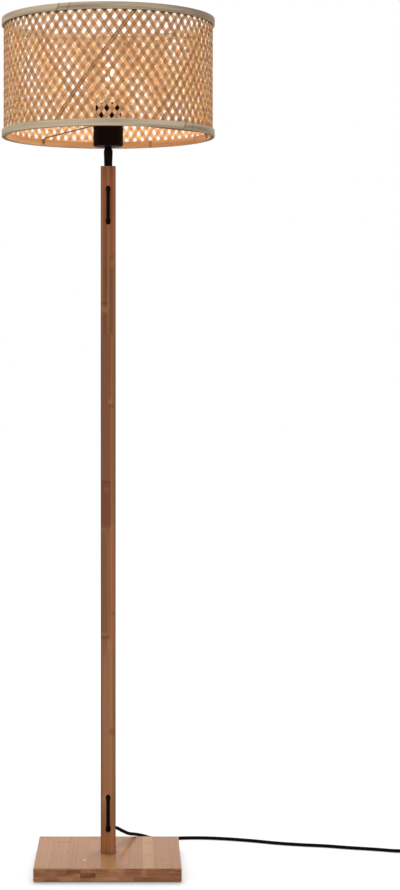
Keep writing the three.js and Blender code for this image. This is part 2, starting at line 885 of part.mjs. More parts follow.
// Places in the frames of the switch and the plug, along the lead
const leadHeight = switchSplit + seat / 2;
const reliefFoot = switchLength / 2 - switchWall - seat - reliefFlangeThick;
const reliefTip = switchLength / 2 + seat + reliefLength;
const plugAxis = plugThick / 2;
const plugBore = plugReliefLength + pinSeat;

function inSwitch(along) {
  const turn = new THREE.Euler(0, 0, switchTurn);
  return at(along, 0, leadHeight).applyEuler(turn).add(at(...switchPlace));
}

// Coil of the spare lead. It spirals in on the lower layer, climbs in the half turn where the spiral
// reverses, and spirals out again on the upper one.
const coilFloor = seat + tieThick + seat + cordRadius;
const coilRate = coilPitch / fullTurn;
const coilSweep = coilTurns * fullTurn;
const coilInnerRadius = coilOuterRadius - (coilRate * coilSweep) / 2;

function coilStations() {
  const steps = Math.round(coilTurns * coilStepsEachTurn);
  const stations = [];
  for (let step = 0; step <= steps; step += 1) {
    const travelled = (coilSweep * step) / steps;
    const fromMiddle = travelled - coilSweep / 2;
    const radius = coilInnerRadius + coilRate * Math.abs(fromMiddle);
    const climb = THREE.MathUtils.smoothstep(fromMiddle, -quarterTurn, quarterTurn);
    const angle = coilEntry - travelled;
    stations.push(at(
      coilPlace[0] + radius * Math.cos(angle),
      coilPlace[1] + radius * Math.sin(angle),
      coilFloor + coilPitch * climb,
    ));
  }
  return stations;
}

function coilRoute() {
  const turns = coilStations();
  const ahead = turns[0].clone().sub(turns[1]).normalize();
  const last = turns[turns.length - 1];
  const behind = last.clone().sub(turns[turns.length - 2]).normalize();
  const run = 2 * cordRadius;
  return [
    turns[0].clone().addScaledVector(ahead, run),
    ...turns,
    last.clone().addScaledVector(behind, run),
  ];
}

// Least gap between stretches of one tube that lie over a third of a turn apart
function leastGap(stations, apart, radius) {
  let least = Infinity;
  const line = new THREE.Line3();
  const nearest = new THREE.Vector3();
  stations.forEach((station, i) => {
    for (let j = i + apart; j + 1 < stations.length; j += 1) {
      line.set(stations[j], stations[j + 1]).closestPointToPoint(station, true, nearest);
      least = Math.min(least, station.distanceTo(nearest) - 2 * radius);
    }
  });
  return least;
}

function makeLead() {
  const straight = 2 * cordRadius;
  const outside = reliefTip + straight;
  const slope = at(0, 1, -exitSlope).normalize();
  const start = cableCorners().pop().addScaledVector(slope, seat);
  const free = start.clone().addScaledVector(slope, straight);
  const lead = smoothRoute([free, ...leadPoints.map((p) => at(...p)), inSwitch(-outside)], leadSteps);
  lead.unshift(start);
  lead.push(inSwitch(-reliefFoot));

  const route = coilRoute();
  const entry = route[0].clone().sub(route[1]).normalize();
  const link = smoothRoute([
    inSwitch(outside),
    ...linkPoints.map((p) => at(...p)),
    route[0].clone().addScaledVector(entry, straight),
  ], linkSteps);
  link.unshift(inSwitch(reliefFoot));
  link.push(route[0].clone().addScaledVector(entry, seat));

  const last = route[route.length - 1];
  const leave = last.clone().sub(route[route.length - 2]).normalize();
  const tail = smoothRoute([
    last.clone().addScaledVector(leave, straight),
    ...tailPoints.map((p) => at(...p)),
    at(tailPlace[0], tailPlace[1] + cordRadius, plugAxis),
  ], tailSteps);
  tail.unshift(last.clone().addScaledVector(leave, seat));
  tail.push(at(tailPlace[0], tailPlace[1] - plugBore + seat, plugAxis));
  console.log('coil, least gap', leastGap(route, coilStepsEachTurn / 3, cordRadius).toFixed(2));
  return groupOf(
    piece('lead_to_switch', tube(lead, cordRadius, cordSides), jacket),
    piece('lead_to_coil', tube(link, cordRadius, cordSides), jacket),
    piece('lead_coil', tube(route, cordRadius, coilSides), jacket),
    piece('lead_to_plug', tube(tail, cordRadius, cordSides), jacket),
    makeTie(),
  );
}

// Tie round the coil's bundle of turns, on the side away from its ends
function makeTie() {
  const inner = coilInnerRadius - cordRadius - seat;
  const outer = coilOuterRadius + cordRadius + seat;
  const width = outer - inner;
  const height = coilPitch + 2 * cordRadius + 2 * seat;
  const band = roundedRectangle(width + 2 * tieThick, height + 2 * tieThick, tieCorner + tieThick);
  band.holes.push(roundedRectangle(width, height, tieCorner));
  const options = { depth: tieWidth, bevelEnabled: false, curveSegments: 2 };
  const geometry = new THREE.ExtrudeGeometry(band, options);
  geometry.translate(0, 0, -tieWidth / 2).rotateX(quarterTurn);
  const tie = piece('coil_tie', geometry, felt);
  const middle = (inner + outer) / 2;
  tie.position.set(coilPlace[0] - middle, coilPlace[1], seat + tieThick + height / 2);
  return tie;
}

// Foot switch: two shells, a sprung button, the switch block and a tapered relief at each end
function makeSwitch() {
  const outline = roundedRectangle(switchLength, switchWidth, switchCorner);
  const wide = switchLength;
  const inner = roundedRectangle(
    switchLength - 2 * switchWall,
    switchWidth - 2 * switchWall,
    switchCorner - switchWall,
  );
  const hollow = (edge) => slab(inner, switchHeight - 2 * switchWall, edge).translate(0, 0, switchWall);
  const reliefHoles = bar(
    reliefNeckRadius + seat,
    at(-wide, 0, leadHeight),
    at(wide, 0, leadHeight),
    roundSides,
  );
  const above = block(at(-wide, -wide, switchSplit), at(wide, wide, wide));
  const below = block(at(-wide, -wide, -wide), at(wide, wide, switchSplit + seat));
  const opening = disc(buttonRadius + seat, switchSplit, switchHeight + overrun);
  const base = cut(slab(outline, switchHeight, switchBaseEdge), above, hollow(switchBaseEdge), reliefHoles);
  const cover = cut(
    slab(outline, switchHeight, switchCoverEdge),
    below,
    hollow(switchCoverEdge - switchWall),
    opening,
    reliefHoles,
  );
  const flangeHead = switchHeight - switchWall - seat;
  const flangeFoot = flangeHead - buttonFlangeThick;
  const button = turned([
    [0, flangeFoot],
    [buttonFlangeRadius, flangeFoot],
    [buttonFlangeRadius, flangeHead],
    [buttonRadius, flangeHead],
    [buttonRadius, switchHeight + buttonDome / 2],
    [buttonCrownShares[0] * buttonRadius, switchHeight + buttonCrownShares[1] * buttonDome],
    [0, switchHeight + buttonDome],
  ]);
  const blockFoot = switchWall + seat;
  const inside = block(
    at(-blockLength / 2, -blockWidth / 2, blockFoot),
    at(blockLength / 2, blockWidth / 2, blockFoot + blockHeight),
  );
  const springFoot = blockFoot + blockHeight + seat + springWireRadius;
  const springHead = flangeFoot - seat - springWireRadius;
  const steps = springTurns * springStepsEachTurn;
  const coils = Array.from({ length: steps + 1 }, (_, i) => {
    const angle = (i * fullTurn) / springStepsEachTurn;
    const height = springFoot + ((springHead - springFoot) * i) / steps;
    return at(springRadius * Math.cos(angle), springRadius * Math.sin(angle), height);
  });
  const group = groupOf(
    piece('switch_base', base, black),
    piece('switch_cover', cover, black),
    piece('switch_button', button, black),
    piece('switch_block', inside, felt),
    piece('switch_spring', tube(coils, springWireRadius, springSides), steel),
    makeRelief('switch_relief_in', -1),
    makeRelief('switch_relief_out', 1),
  );
  group.position.set(...switchPlace);
  group.rotation.z = switchTurn;
  return group;
}

function makeRelief(name, side) {
  const bore = cordRadius + seat;
  const neckEnd = reliefFlangeThick + switchWall + 2 * seat;
  const profile = [
    [bore, 0],
    [reliefFlangeRadius, 0],
    [reliefFlangeRadius, reliefFlangeThick],
    [reliefNeckRadius, reliefFlangeThick],
    [reliefNeckRadius, neckEnd],
    [reliefRootRadius, neckEnd],
    [reliefTipRadius, neckEnd + reliefLength],
    [bore, neckEnd + reliefLength],
  ];
  const relief = piece(name, turnedRing(profile, smallSides).rotateY(side * quarterTurn), black);
  relief.position.set(side * reliefFoot, 0, leadHeight);
  return relief;
}

// Flat two-pin plug with its relief moulded on
function makePlug() {
  const w = plugWidth / 2;
  const end = plugLength;
  const outline = new THREE.Shape([
    [0, -reliefRootRadius],
    [plugTaper, -w],
    [end - plugEdge, -w],
    [end, plugEdge - w],
    [end, w - plugEdge],
    [end - plugEdge, w],
    [plugTaper, w],
    [0, reliefRootRadius],
  ].map(([x, y]) => new THREE.Vector2(x, y)));
  const body = slab(outline, plugThick, plugEdge).translate(plugReliefLength, 0, 0);
  const cone = turned([
    [0, 0],
    [reliefTipRadius, 0],
    [reliefRootRadius, plugReliefLength],
    [reliefRootRadius, plugReliefLength + plugEdge],
    [0, plugReliefLength + plugEdge],
  ], smallSides).rotateY(quarterTurn).translate(0, 0, plugAxis);
  const front = plugReliefLength + plugLength;
  const lead = bar(cordRadius + seat, at(-overrun, 0, plugAxis), at(plugBore, 0, plugAxis));
  const pins = [-pinSpacing / 2, pinSpacing / 2];
  const sockets = pins.map((y) =>
    bar(pinRadius + seat, at(front - pinSeat, y, plugAxis), at(front + overrun, y, plugAxis)));
  const group = groupOf(piece('plug_body', geometryOf(
    [lead, ...sockets].reduce((left, cutter) => left.subtract(solid(cutter)), solid(body).add(solid(cone))),
  ), black));
  pins.forEach((y, i) => {
    const pin = turned([
      [0, 0],
      [pinRadius, 0],
      [pinRadius, pinSeat + pinLength - pinRadius],
      [pinRadius / 2, pinSeat + pinLength],
      [0, pinSeat + pinLength],
    ], smallSides).rotateY(quarterTurn);
    const mesh = piece(`plug_pin_${i + 1}`, pin, brass);
    mesh.position.set(front - pinSeat + seat, y, plugAxis);
    group.add(mesh);
  });
  group.position.set(...tailPlace, 0);
  group.rotation.z = -quarterTurn;
  return group;
}

const lamp = groupOf(
  makeFoot(),
  makePole(),
  makeCable(),
  makeNeck(),
  makeHolder(),
  makeShade(),
  makeBulb(),
  makeLead(),
  makeSwitch(),
  makePlug(),
);
lamp.name = 'floor_lamp';

export default lamp;
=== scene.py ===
"""Looks of a floor lamp: a bamboo pole on a square bamboo foot, a drum shade woven from bamboo strips, and a
black cable that is stitched through the pole and runs on as the lead. Metres, in the frame of the CAD model:
the origin on the floor below the pole, +X towards the lead's side, +Y to the back and +Z up.
"""
import logging
import math
from dataclasses import dataclass, field
from enum import Enum
from typing import Sequence

import bmesh
import bpy
import numpy as np
from mathutils import Matrix, Vector


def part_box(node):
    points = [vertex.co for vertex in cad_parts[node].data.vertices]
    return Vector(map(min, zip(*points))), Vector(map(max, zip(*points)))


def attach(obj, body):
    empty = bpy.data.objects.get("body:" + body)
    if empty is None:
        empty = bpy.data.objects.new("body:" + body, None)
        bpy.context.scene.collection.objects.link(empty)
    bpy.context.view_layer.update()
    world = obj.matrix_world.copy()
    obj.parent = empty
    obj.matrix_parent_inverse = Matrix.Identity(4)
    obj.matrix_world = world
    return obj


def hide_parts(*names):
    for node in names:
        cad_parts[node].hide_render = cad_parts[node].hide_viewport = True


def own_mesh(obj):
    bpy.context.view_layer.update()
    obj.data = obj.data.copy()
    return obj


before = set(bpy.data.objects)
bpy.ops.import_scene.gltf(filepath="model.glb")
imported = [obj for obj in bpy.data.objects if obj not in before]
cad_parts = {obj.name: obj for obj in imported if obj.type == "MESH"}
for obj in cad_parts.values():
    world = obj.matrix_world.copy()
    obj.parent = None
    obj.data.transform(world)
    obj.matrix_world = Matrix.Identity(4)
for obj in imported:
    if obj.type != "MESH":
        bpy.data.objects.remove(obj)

Point = tuple[float, float, float]
Profile = list[tuple[float, float]]
Piece = bpy.types.Object
Tree = bpy.types.NodeTree
Node = bpy.types.Node
Socket = bpy.types.NodeSocket

log = logging.getLogger("floor_lamp")
FULL_TURN = 2 * math.pi
QUARTER_TURN = math.pi / 2
SHARP = math.radians(38)  # an edge that turns more stays sharp on most pieces
SHARP_ROD = math.radians(50)  # the same on tubes and bent strips, which have fewer sides
ORIGIN: Point = (0.0, 0.0, 0.0)
MATH, VECTOR_MATH = "ShaderNodeMath", "ShaderNodeVectorMath"
MAP_RANGE, MIX, NOISE = "ShaderNodeMapRange", "ShaderNodeMix", "ShaderNodeTexNoise"
SPLIT, COMBINE = "ShaderNodeSeparateXYZ", "ShaderNodeCombineXYZ"


class Body(Enum):
    """The bodies of the CAD model."""

    LAMP = "lamp"
    BULB = "bulb"
    BUTTON = "button"


class Lean(Enum):
    """The way a strip of the shade leans as it climbs, seen from outside."""

    RIGHT = 1
    LEFT = -1


def linear(code: str) -> tuple[float, float, float, float]:
    """Turns an sRGB hex value to linear values.

    Args:
        code: six hex digits after a hash mark.

    Returns:
        Red, green, blue and a full alpha.
    """
    parts = [int(code[i:i + 2], 16) / 255 for i in (1, 3, 5)]
    red, green, blue = (p / 12.92 if p <= 0.04045 else ((p + 0.055) / 1.055) ** 2.4 for p in parts)
    return (red, green, blue, 1.0)


def feed(node: Node, inputs: dict | Sequence) -> None:
    """Sets or links a node's inputs.

    Args:
        node: the node.
        inputs: what each socket gets, in their order, or by name or number. It is a value, the output that
            feeds the socket, or a node whose first output does.
    """
    for socket, source in inputs.items() if isinstance(inputs, dict) else enumerate(inputs):
        if isinstance(source, Node):
            source = source.outputs[0]
        if isinstance(source, Socket):
            node.id_data.links.new(source, node.inputs[socket])
        else:
            node.inputs[socket].default_value = source


def add(tree: Tree, kind: str, inputs: dict | Sequence = (), **settings: object) -> Node:
    """Adds a node with its settings, values and links.

    Args:
        tree: the node tree.
        kind: the node's type.
        inputs: what goes into its sockets, as feed takes it.
        settings: the node's own properties.

    Returns:
        The new node.
    """
    made = tree.nodes.new(kind)
    for name, value in settings.items():
        setattr(made, name, value)
    feed(made, inputs)
    return made


@dataclass(frozen=True)
class Finish:
    """What a surface is made of, with the typical values that its shader starts from."""

    name: str
    colour: str
    second: str
    roughness: float
    metallic: float = 0.0
    ior: float = 1.5
    specular: float = 0.5

    def begin(self) -> tuple[bpy.types.Material, Tree, Node]:
        """Starts the material.

        Returns:
            The material, its tree and its surface shader.
        """
        material = bpy.data.materials.new(self.name)
        material.use_nodes = True
        tree = material.node_tree
        tree.nodes.clear()
        surface = add(tree, "ShaderNodeBsdfPrincipled", {
            "Base Color": linear(self.colour),
            "Roughness": self.roughness,
            "Metallic": self.metallic,
            "IOR": self.ior,
            "Specular IOR Level": self.specular,
        })
        add(tree, "ShaderNodeOutputMaterial", {"Surface": surface})
        return material, tree, surface

    def blend(self, tree: Tree, surface: Node, share: Socket | Node) -> None:
        """Mixes the finish's two colours by a share into the surface's colour."""
        mixed = add(tree, MIX, {0: share, 6: linear(self.colour), 7: linear(self.second)}, data_type="RGBA")
        feed(surface, {"Base Color": mixed.outputs[2]})

    def cover(self, tree: Tree, surface: Node, share: Socket | Node, colour: str) -> None:
        """Covers the colour that reaches the surface with another.

        Args:
            tree: the material's nodes.
            surface: its surface shader.
            share: how much of the other colour shows, from 0 to 1.
            colour: the other colour.
        """
        below = surface.inputs["Base Color"].links[0].from_socket
        mixed = add(tree, MIX, {0: share, 6: below, 7: linear(colour)}, data_type="RGBA")
        feed(surface, {"Base Color": mixed.outputs[2]})

    def relief(self, tree: Tree, surface: Node, height: Socket | Node, depth: float, strength: float) -> None:
        """Raises the surface by a height from 0 to 1, over a depth in metres."""
        bump = add(tree, "ShaderNodeBump", {"Height": height, "Distance": depth, "Strength": strength})
        feed(surface, {"Normal": bump})


@dataclass(frozen=True)
class Grained(Finish):
    """Moulded, turned or sprayed surface with an even fine grain: a soft mottle in colour, roughness and
    height keeps it from looking like a flat fill."""

    grain: float = 0.0015  # real grain is finer; this is as fine as it shows
    depth: float = 0.00005
    strength: float = 0.5
    mottle: float = 25.0  # how many grains the broad mottle spans
    mottle_range: tuple[float, float] = (0.3, 0.7)
    roughness_spread: float = 0.1

    def material(self) -> bpy.types.Material:
        """Builds the material.

        Returns:
            The material.
        """
        material, tree, surface = self.begin()
        place = add(tree, "ShaderNodeTexCoord").outputs["Object"]
        fine = add(tree, NOISE, {"Vector": place, "Scale": 1 / self.grain, "Detail": 2.0})
        broad = add(tree, NOISE, {"Vector": place, "Scale": 1 / self.mottle / self.grain, "Detail": 3.0})
        self.blend(tree, surface, broad)
        low, high = (self.roughness + side * self.roughness_spread / 2 for side in (-1, 1))
        rough = add(tree, MAP_RANGE, (broad, *self.mottle_range, low, high))
        feed(surface, {"Roughness": rough})
        self.relief(tree, surface, fine, self.depth, self.strength)
        return material


@dataclass(frozen=True)
class Patch:
    """A paler or darker place on one lamella, such as a node of the culm, with ragged ends. Low and high are
    along the fibres, left and right along X."""

    low: float
    high: float
    left: float
    right: float
    colour: str
    share: float
    soft: float = 0.004


@dataclass(frozen=True)
class LaminatedBamboo(Finish):
    """Bamboo lamellae glued side by side, steamed brown, sanded and lacquered. Each lamella has its own tone
    and fine straight fibres; the end grain is darker and dotted."""

    across: Point = (0.0075, 0.0075, 1.0)  # lamella's size along each axis
    start: Point = ORIGIN
    stretch: Point = (0.0007, 0.0007, 0.09)  # size of a fibre's speck along each axis
    broad: float = 5.0  # how many specks the broad streaks span
    contrast: float = 0.4  # the smaller, the harder the streaks
    depth: float = 0.0001
    strength: float = 0.35
    along: int = 2  # axis of the fibres
    tone_share: float = 0.55
    seam_line: float = 0.00025  # half a glue line; the real one is finer, this is as fine as it shows
    seam_dark: float = 0.35
    seam_colour: str = "#2e1a10"
    end_facing: tuple[float, float] = (0.7, 0.95)  # how squarely end grain looks along the fibres
    end_dark: float = 0.0
    end_colour: str = "#5c2c1c"
    end_pale: float = 0.45
    end_pale_colour: str = "#bd8464"
    end_block: Point = (0.031, 1.0, 0.0121)  # lamellae that show at the end grain, by twos
    end_streak: Point = (0.03, 1.0, 0.0016)  # size of a streak in them
    end_streak_share: float = 0.45
    end_streak_range: tuple[float, float] = (0.35, 0.65)
    patches: tuple[Patch, ...] = ()
    end_patches: tuple[Patch, ...] = ()  # the same on the end grain, with low and high along Z
    ragged: float = 0.006
    torn: float = 2.0  # how many specks the patches' ragged ends span
    # painted shade along the section's rounded corners, where they turn away from the light
    corner: float = 0.0  # how far the section's corners stand from its middle, where they are darker
    corner_shade_band: tuple[float, float] = (0.0026, 0.0008)  # where the dark begins and is full, from the corner
    corner_shade_share: float = 0.6
    corner_shade_colour: str = "#3f2415"

    def fibres(self, tree: Tree, place: Socket, size: float) -> Node:
        """A noise drawn out along the fibres; size multiplies its specks."""
        speck = add(tree, VECTOR_MATH, (place, tuple(size * s for s in self.stretch)), operation="DIVIDE")
        return add(tree, NOISE, {"Vector": speck, "Scale": 1.0, "Detail": 2.0})

    def seams(self, tree: Tree, cells: Node) -> Node:
        """Finds the glue lines between lamellae.

        Args:
            tree: the material's nodes.
            cells: the place, counted in lamellae.

        Returns:
            A share that is 1 on the lines.
        """
        split = add(tree, SPLIT, (cells,)).outputs
        lines = []
        for axis in range(3):
            if axis == self.along:
                continue
            part = add(tree, MATH, (split[axis], 1.0), operation="PINGPONG")
            width = self.seam_line / self.across[axis]
            lines.append(add(tree, MAP_RANGE, (part, width, 2 * width, 1.0, 0.0)))
            lines.append(add(tree, MAP_RANGE, (part, 1 - 2 * width, 1 - width, 0.0, 1.0)))
        total = lines[0]
        for line in lines[1:]:
            total = add(tree, MATH, (total, line), operation="MAXIMUM")
        return total

    def lay_patches(self, tree: Tree, surface: Node, place: Socket, patches: tuple[Patch, ...], axis: int,
                    torn: Node, where: Node | float = 1.0) -> None:
        """Lays patches over the colour that already reaches the surface.

        Args:
            tree: the material's nodes.
            surface: its surface shader.
            place: the place on the object.
            patches: the patches.
            axis: the axis of their low and high.
            torn: a noise that tears their ends.
            where: the share of the surface that can have them.
        """
        split = add(tree, SPLIT, (place,)).outputs
        height = add(tree, MATH, (torn, self.ragged, split[axis]), operation="MULTIPLY_ADD")
        for patch in patches:
            centre, reach = (patch.left + patch.right) / 2, (patch.right - patch.left) / 2
            inside = add(tree, MATH, (split[0], centre, reach), operation="COMPARE")
            middle = (patch.low + patch.high + self.ragged) / 2
            away = add(tree, MATH, (height, middle), operation="SUBTRACT")
            size = add(tree, MATH, (away,), operation="ABSOLUTE")
            half = (patch.high - patch.low) / 2
            near = add(tree, MAP_RANGE, (size, half - patch.soft, half, patch.share, 0.0),
                       interpolation_type="SMOOTHSTEP")
            shown = add(tree, MATH, (near, inside), operation="MULTIPLY")
            left = add(tree, MATH, (shown, where), operation="MULTIPLY")
            self.cover(tree, surface, left, patch.colour)

    def lay_end_grain(self, tree: Tree, surface: Node, place: Socket) -> None:
        """Darkens the faces that look along the fibres, block by block and streak by streak.

        Args:
            tree: the material's nodes.
            surface: its surface shader.
            place: the place on the object.
        """
        facing = add(tree, SPLIT, (add(tree, "ShaderNodeNewGeometry").outputs["Normal"],))
        size = add(tree, MATH, (facing.outputs[self.along],), operation="ABSOLUTE")
        end = add(tree, MAP_RANGE, (size, *self.end_facing, 0.0, self.end_dark))
        blocks = add(tree, VECTOR_MATH, (place, self.end_block), operation="DIVIDE")
        block = add(tree, VECTOR_MATH, (blocks,), operation="FLOOR")
        own = add(tree, "ShaderNodeTexWhiteNoise", {"Vector": block}, noise_dimensions="3D")
        drawn = add(tree, VECTOR_MATH, (place, self.end_streak), operation="DIVIDE")
        noise = add(tree, NOISE, {"Vector": drawn, "Scale": 1.0, "Detail": 2.0})
        streak = add(tree, MAP_RANGE, (noise, *self.end_streak_range))
        both = add(tree, MIX, {0: self.end_streak_share, 2: own, 3: streak})
        dark = add(tree, MATH, (end, both), operation="MULTIPLY")
        self.cover(tree, surface, dark, self.end_colour)
        rest = add(tree, MATH, (end, dark), operation="SUBTRACT")
        pale = add(tree, MATH, (rest, self.end_pale), operation="MULTIPLY")
        self.cover(tree, surface, pale, self.end_pale_colour)
        self.lay_patches(tree, surface, place, self.end_patches, 2, noise, end)

    def paint_corner_shade(self, tree: Tree, surface: Node, place: Socket) -> None:
        """Paints shade along the section's rounded corners, where they turn away from the light.

        Args:
            tree: the material's nodes.
            surface: its surface shader.
            place: the place on the object.
        """
        split = add(tree, SPLIT, (place,)).outputs
        sizes = [add(tree, MATH, (split[axis],), operation="ABSOLUTE") for axis in (0, 1)]
        least = add(tree, MATH, sizes, operation="MINIMUM")
        outer, inner = (self.corner - reach for reach in self.corner_shade_band)
        near = add(tree, MAP_RANGE, (least, outer, inner, 0.0, self.corner_shade_share))
        self.cover(tree, surface, near, self.corner_shade_colour)

    def material(self) -> bpy.types.Material:
        """Builds the material.

        Returns:
            The material.
        """
        material, tree, surface = self.begin()
        place = add(tree, "ShaderNodeTexCoord").outputs["Object"]
        moved = add(tree, VECTOR_MATH, (place, self.start), operation="ADD")
        cells = add(tree, VECTOR_MATH, (moved, self.across), operation="DIVIDE")
        number = add(tree, VECTOR_MATH, (cells,), operation="FLOOR")
        tone = add(tree, "ShaderNodeTexWhiteNoise", {"Vector": number}, noise_dimensions="3D")
        fine = self.fibres(tree, place, 1.0)
        fibre = add(tree, MATH, (fine, self.fibres(tree, place, self.broad)), operation="ADD")
        spread = add(tree, MAP_RANGE, (fibre, 1 - self.contrast, 1 + self.contrast))
        self.blend(tree, surface, add(tree, MIX, {0: self.tone_share, 2: spread, 3: tone}))
        seams = add(tree, MATH, (self.seams(tree, cells), self.seam_dark), operation="MULTIPLY")
        self.cover(tree, surface, seams, self.seam_colour)
        if self.end_dark:
            self.lay_end_grain(tree, surface, place)
        torn = self.fibres(tree, place, self.torn)
        self.lay_patches(tree, surface, place, self.patches, self.along, torn)
        if self.corner:
            self.paint_corner_shade(tree, surface, place)
        self.relief(tree, surface, fine, self.depth, self.strength)
        return material


@dataclass(frozen=True)
class SplitBamboo(Finish):
    """Bamboo split and shaved to a strip, left bare: dull, with fibres along it and now and then a node. It
    reads the piece's own map, in metres, with the fibres along V."""

    fibre: float = 0.0009
    length: float = 0.05
    broad: float = 4.0  # how many specks the broad streaks span
    spread: float = 0.35  # the smaller, the harder the streaks
    depth: float = 0.0001
    strength: float = 0.4
    shine_through: float = 0.0  # how much of the light behind a thin strip comes through it
    shine_reach: float = 0.001
    shine_colours: Point = (1.0, 0.6, 0.3)  # how far red, green and blue light gets, as shares of that reach
    tone: str = ""  # attribute that holds each strip's own tone
    tone_share: float = 0.7
    tone_shift: float = 400.0  # how far the tone shifts a strip's fibres, in specks
    node_shift: float = 37.0  # the same for its nodes, in gaps between nodes
    node_gap: float = 0.31
    node_width: float = 0.0012
    node_dark: float = 0.7
    node_colour: str = "#6b4a30"
    # painted shade along each strip's edges, where it meets the strips beside it
    half_width: float = 0.0  # where it is given, the strip's edges are darker
    edge: str = "#8d6138"
    edge_from: float = 0.75  # where the dark of the edge begins, as a share of the half width
    edge_shade_share: float = 0.5
    skin: str = "#6e3f20"
    skin_band: tuple[float, float] = (0.25, 0.7)  # where the skin's dark begins and is full, as such shares
    skin_dark: tuple[float, float] = (0.1, 0.6)  # how dark it is in the middle and at the edge
    rows: str = ""  # attribute that counts the rows of crossings
    # painted shade where two strips lie on each other: one strip alone lets the bulb's light through, two do
    # not
    crossing_shade_colour: str = "#a5623c"
    crossing_shade_share: float = 0.52
    cross_band: tuple[float, float] = (0.21, 0.27)  # how far from a row, in steps, another strip lies on this
    # painted shadow of the top hoop, laid on the crossings just below it
    hoop_shadow_from: float = 0.0  # the height on the piece's own map where the strips dip behind the top hoop
    hoop_shadow_band: tuple[float, float] = (0.006, 0.001)  # where that dark begins and is full, below it
    hoop_shadow_share: float = 1.5
    hoop_shadow_colour: str = "#452510"

    def material(self) -> bpy.types.Material:
        """Builds the material.

        Returns:
            The material.
        """
        material, tree, surface = self.begin()
        place = add(tree, "ShaderNodeUVMap", uv_map="UVMap")
        own = add(tree, "ShaderNodeAttribute", attribute_name=self.tone).outputs["Fac"] if self.tone else None
        speck = add(tree, VECTOR_MATH, (place, (self.fibre, self.length, 1.0)), operation="DIVIDE")
        if own is not None:
            shift = add(tree, MATH, (own, self.tone_shift), operation="MULTIPLY")
            speck = add(tree, VECTOR_MATH, (speck, add(tree, COMBINE, (shift, shift, 0.0))), operation="ADD")
        fine = add(tree, NOISE, {"Vector": speck, "Scale": 1.0, "Detail": 2.0})
        broad = add(tree, NOISE, {"Vector": speck, "Scale": 1 / self.broad, "Detail": 2.0})
        fibre = add(tree, MATH, (fine, broad), operation="ADD")
        share = add(tree, MAP_RANGE, (fibre, 1 - self.spread, 1 + self.spread))
        if own is not None:
            share = add(tree, MIX, {0: self.tone_share, 2: share, 3: own})
        self.blend(tree, surface, share)
        across, height, _ = add(tree, SPLIT, (place,)).outputs
        if self.rows:
            self.paint_crossing_shade(tree, surface, height)
        if self.half_width:
            self.darken_edges(tree, surface, across)
        self.draw_nodes(tree, surface, height, own)
        feed(surface, {"Subsurface Weight": self.shine_through, "Subsurface Radius": self.shine_colours,
                       "Subsurface Scale": self.shine_reach})
        self.relief(tree, surface, fine, self.depth, self.strength)
        return material

    def paint_crossing_shade(self, tree: Tree, surface: Node, height: Socket) -> None:
        """Paints shade where two strips lie on each other, because one alone lets the bulb's light through
        and two do not, and paints a deeper shadow on those crossings behind the top hoop.

        Args:
            tree: the material's nodes.
            surface: its surface shader.
            height: the height on the strip's map.
        """
        count = add(tree, "ShaderNodeAttribute", attribute_name=self.rows).outputs["Fac"]
        moved = add(tree, MATH, (count, 0.5), operation="ADD")
        within = add(tree, MATH, (moved,), operation="FRACT")
        away = add(tree, MATH, (within, 0.5), operation="SUBTRACT")
        size = add(tree, MATH, (away,), operation="ABSOLUTE")
        over = add(tree, MAP_RANGE, (size, *self.cross_band, self.crossing_shade_share, 0.0))
        self.cover(tree, surface, over, self.crossing_shade_colour)
        low, high = (self.hoop_shadow_from - reach for reach in self.hoop_shadow_band)
        near = add(tree, MAP_RANGE, (height, low, high))
        both = add(tree, MATH, (near, over), operation="MULTIPLY")
        shown = add(tree, MATH, (both, self.hoop_shadow_share), operation="MULTIPLY", use_clamp=True)
        self.cover(tree, surface, shown, self.hoop_shadow_colour)

    def darken_edges(self, tree: Tree, surface: Node, across: Socket) -> None:
        """Paints shade along the strip's edges, where it meets the strips beside it, and darkens it more
        where the strip keeps its skin.

        Args:
            tree: the material's nodes.
            surface: its surface shader.
            across: how far from the strip's middle line it is.
        """
        out = add(tree, MATH, (across,), operation="ABSOLUTE")
        edge_from = self.edge_from * self.half_width
        rim = add(tree, MAP_RANGE, (out, edge_from, self.half_width, 0.0, self.edge_shade_share))
        self.cover(tree, surface, rim, self.edge)
        kept = add(tree, "ShaderNodeAttribute", attribute_name="strip_skin").outputs["Fac"]
        low, high = (share * self.half_width for share in self.skin_band)
        skin = add(tree, MAP_RANGE, (out, low, high, *self.skin_dark))
        shown = add(tree, MATH, (kept, skin), operation="MULTIPLY")
        self.cover(tree, surface, shown, self.skin)

    def draw_nodes(self, tree: Tree, surface: Node, height: Socket, own: Socket | None) -> None:
        """Draws the thin lines of the culm's nodes, at another height on each strip.

        Args:
            tree: the material's nodes.
            surface: its surface shader.
            height: the height on the strip's map.
            own: the strip's own tone, where it has one.
        """
        count = add(tree, MATH, (height, 1 / self.node_gap), operation="MULTIPLY")
        if own is not None:
            count = add(tree, MATH, (count, add(tree, MATH, (own, self.node_shift), operation="MULTIPLY")),
                        operation="ADD")
        within = add(tree, MATH, (count,), operation="FRACT")
        line = add(tree, MAP_RANGE, (within, 0.0, self.node_width / self.node_gap, self.node_dark, 0.0))
        self.cover(tree, surface, line, self.node_colour)


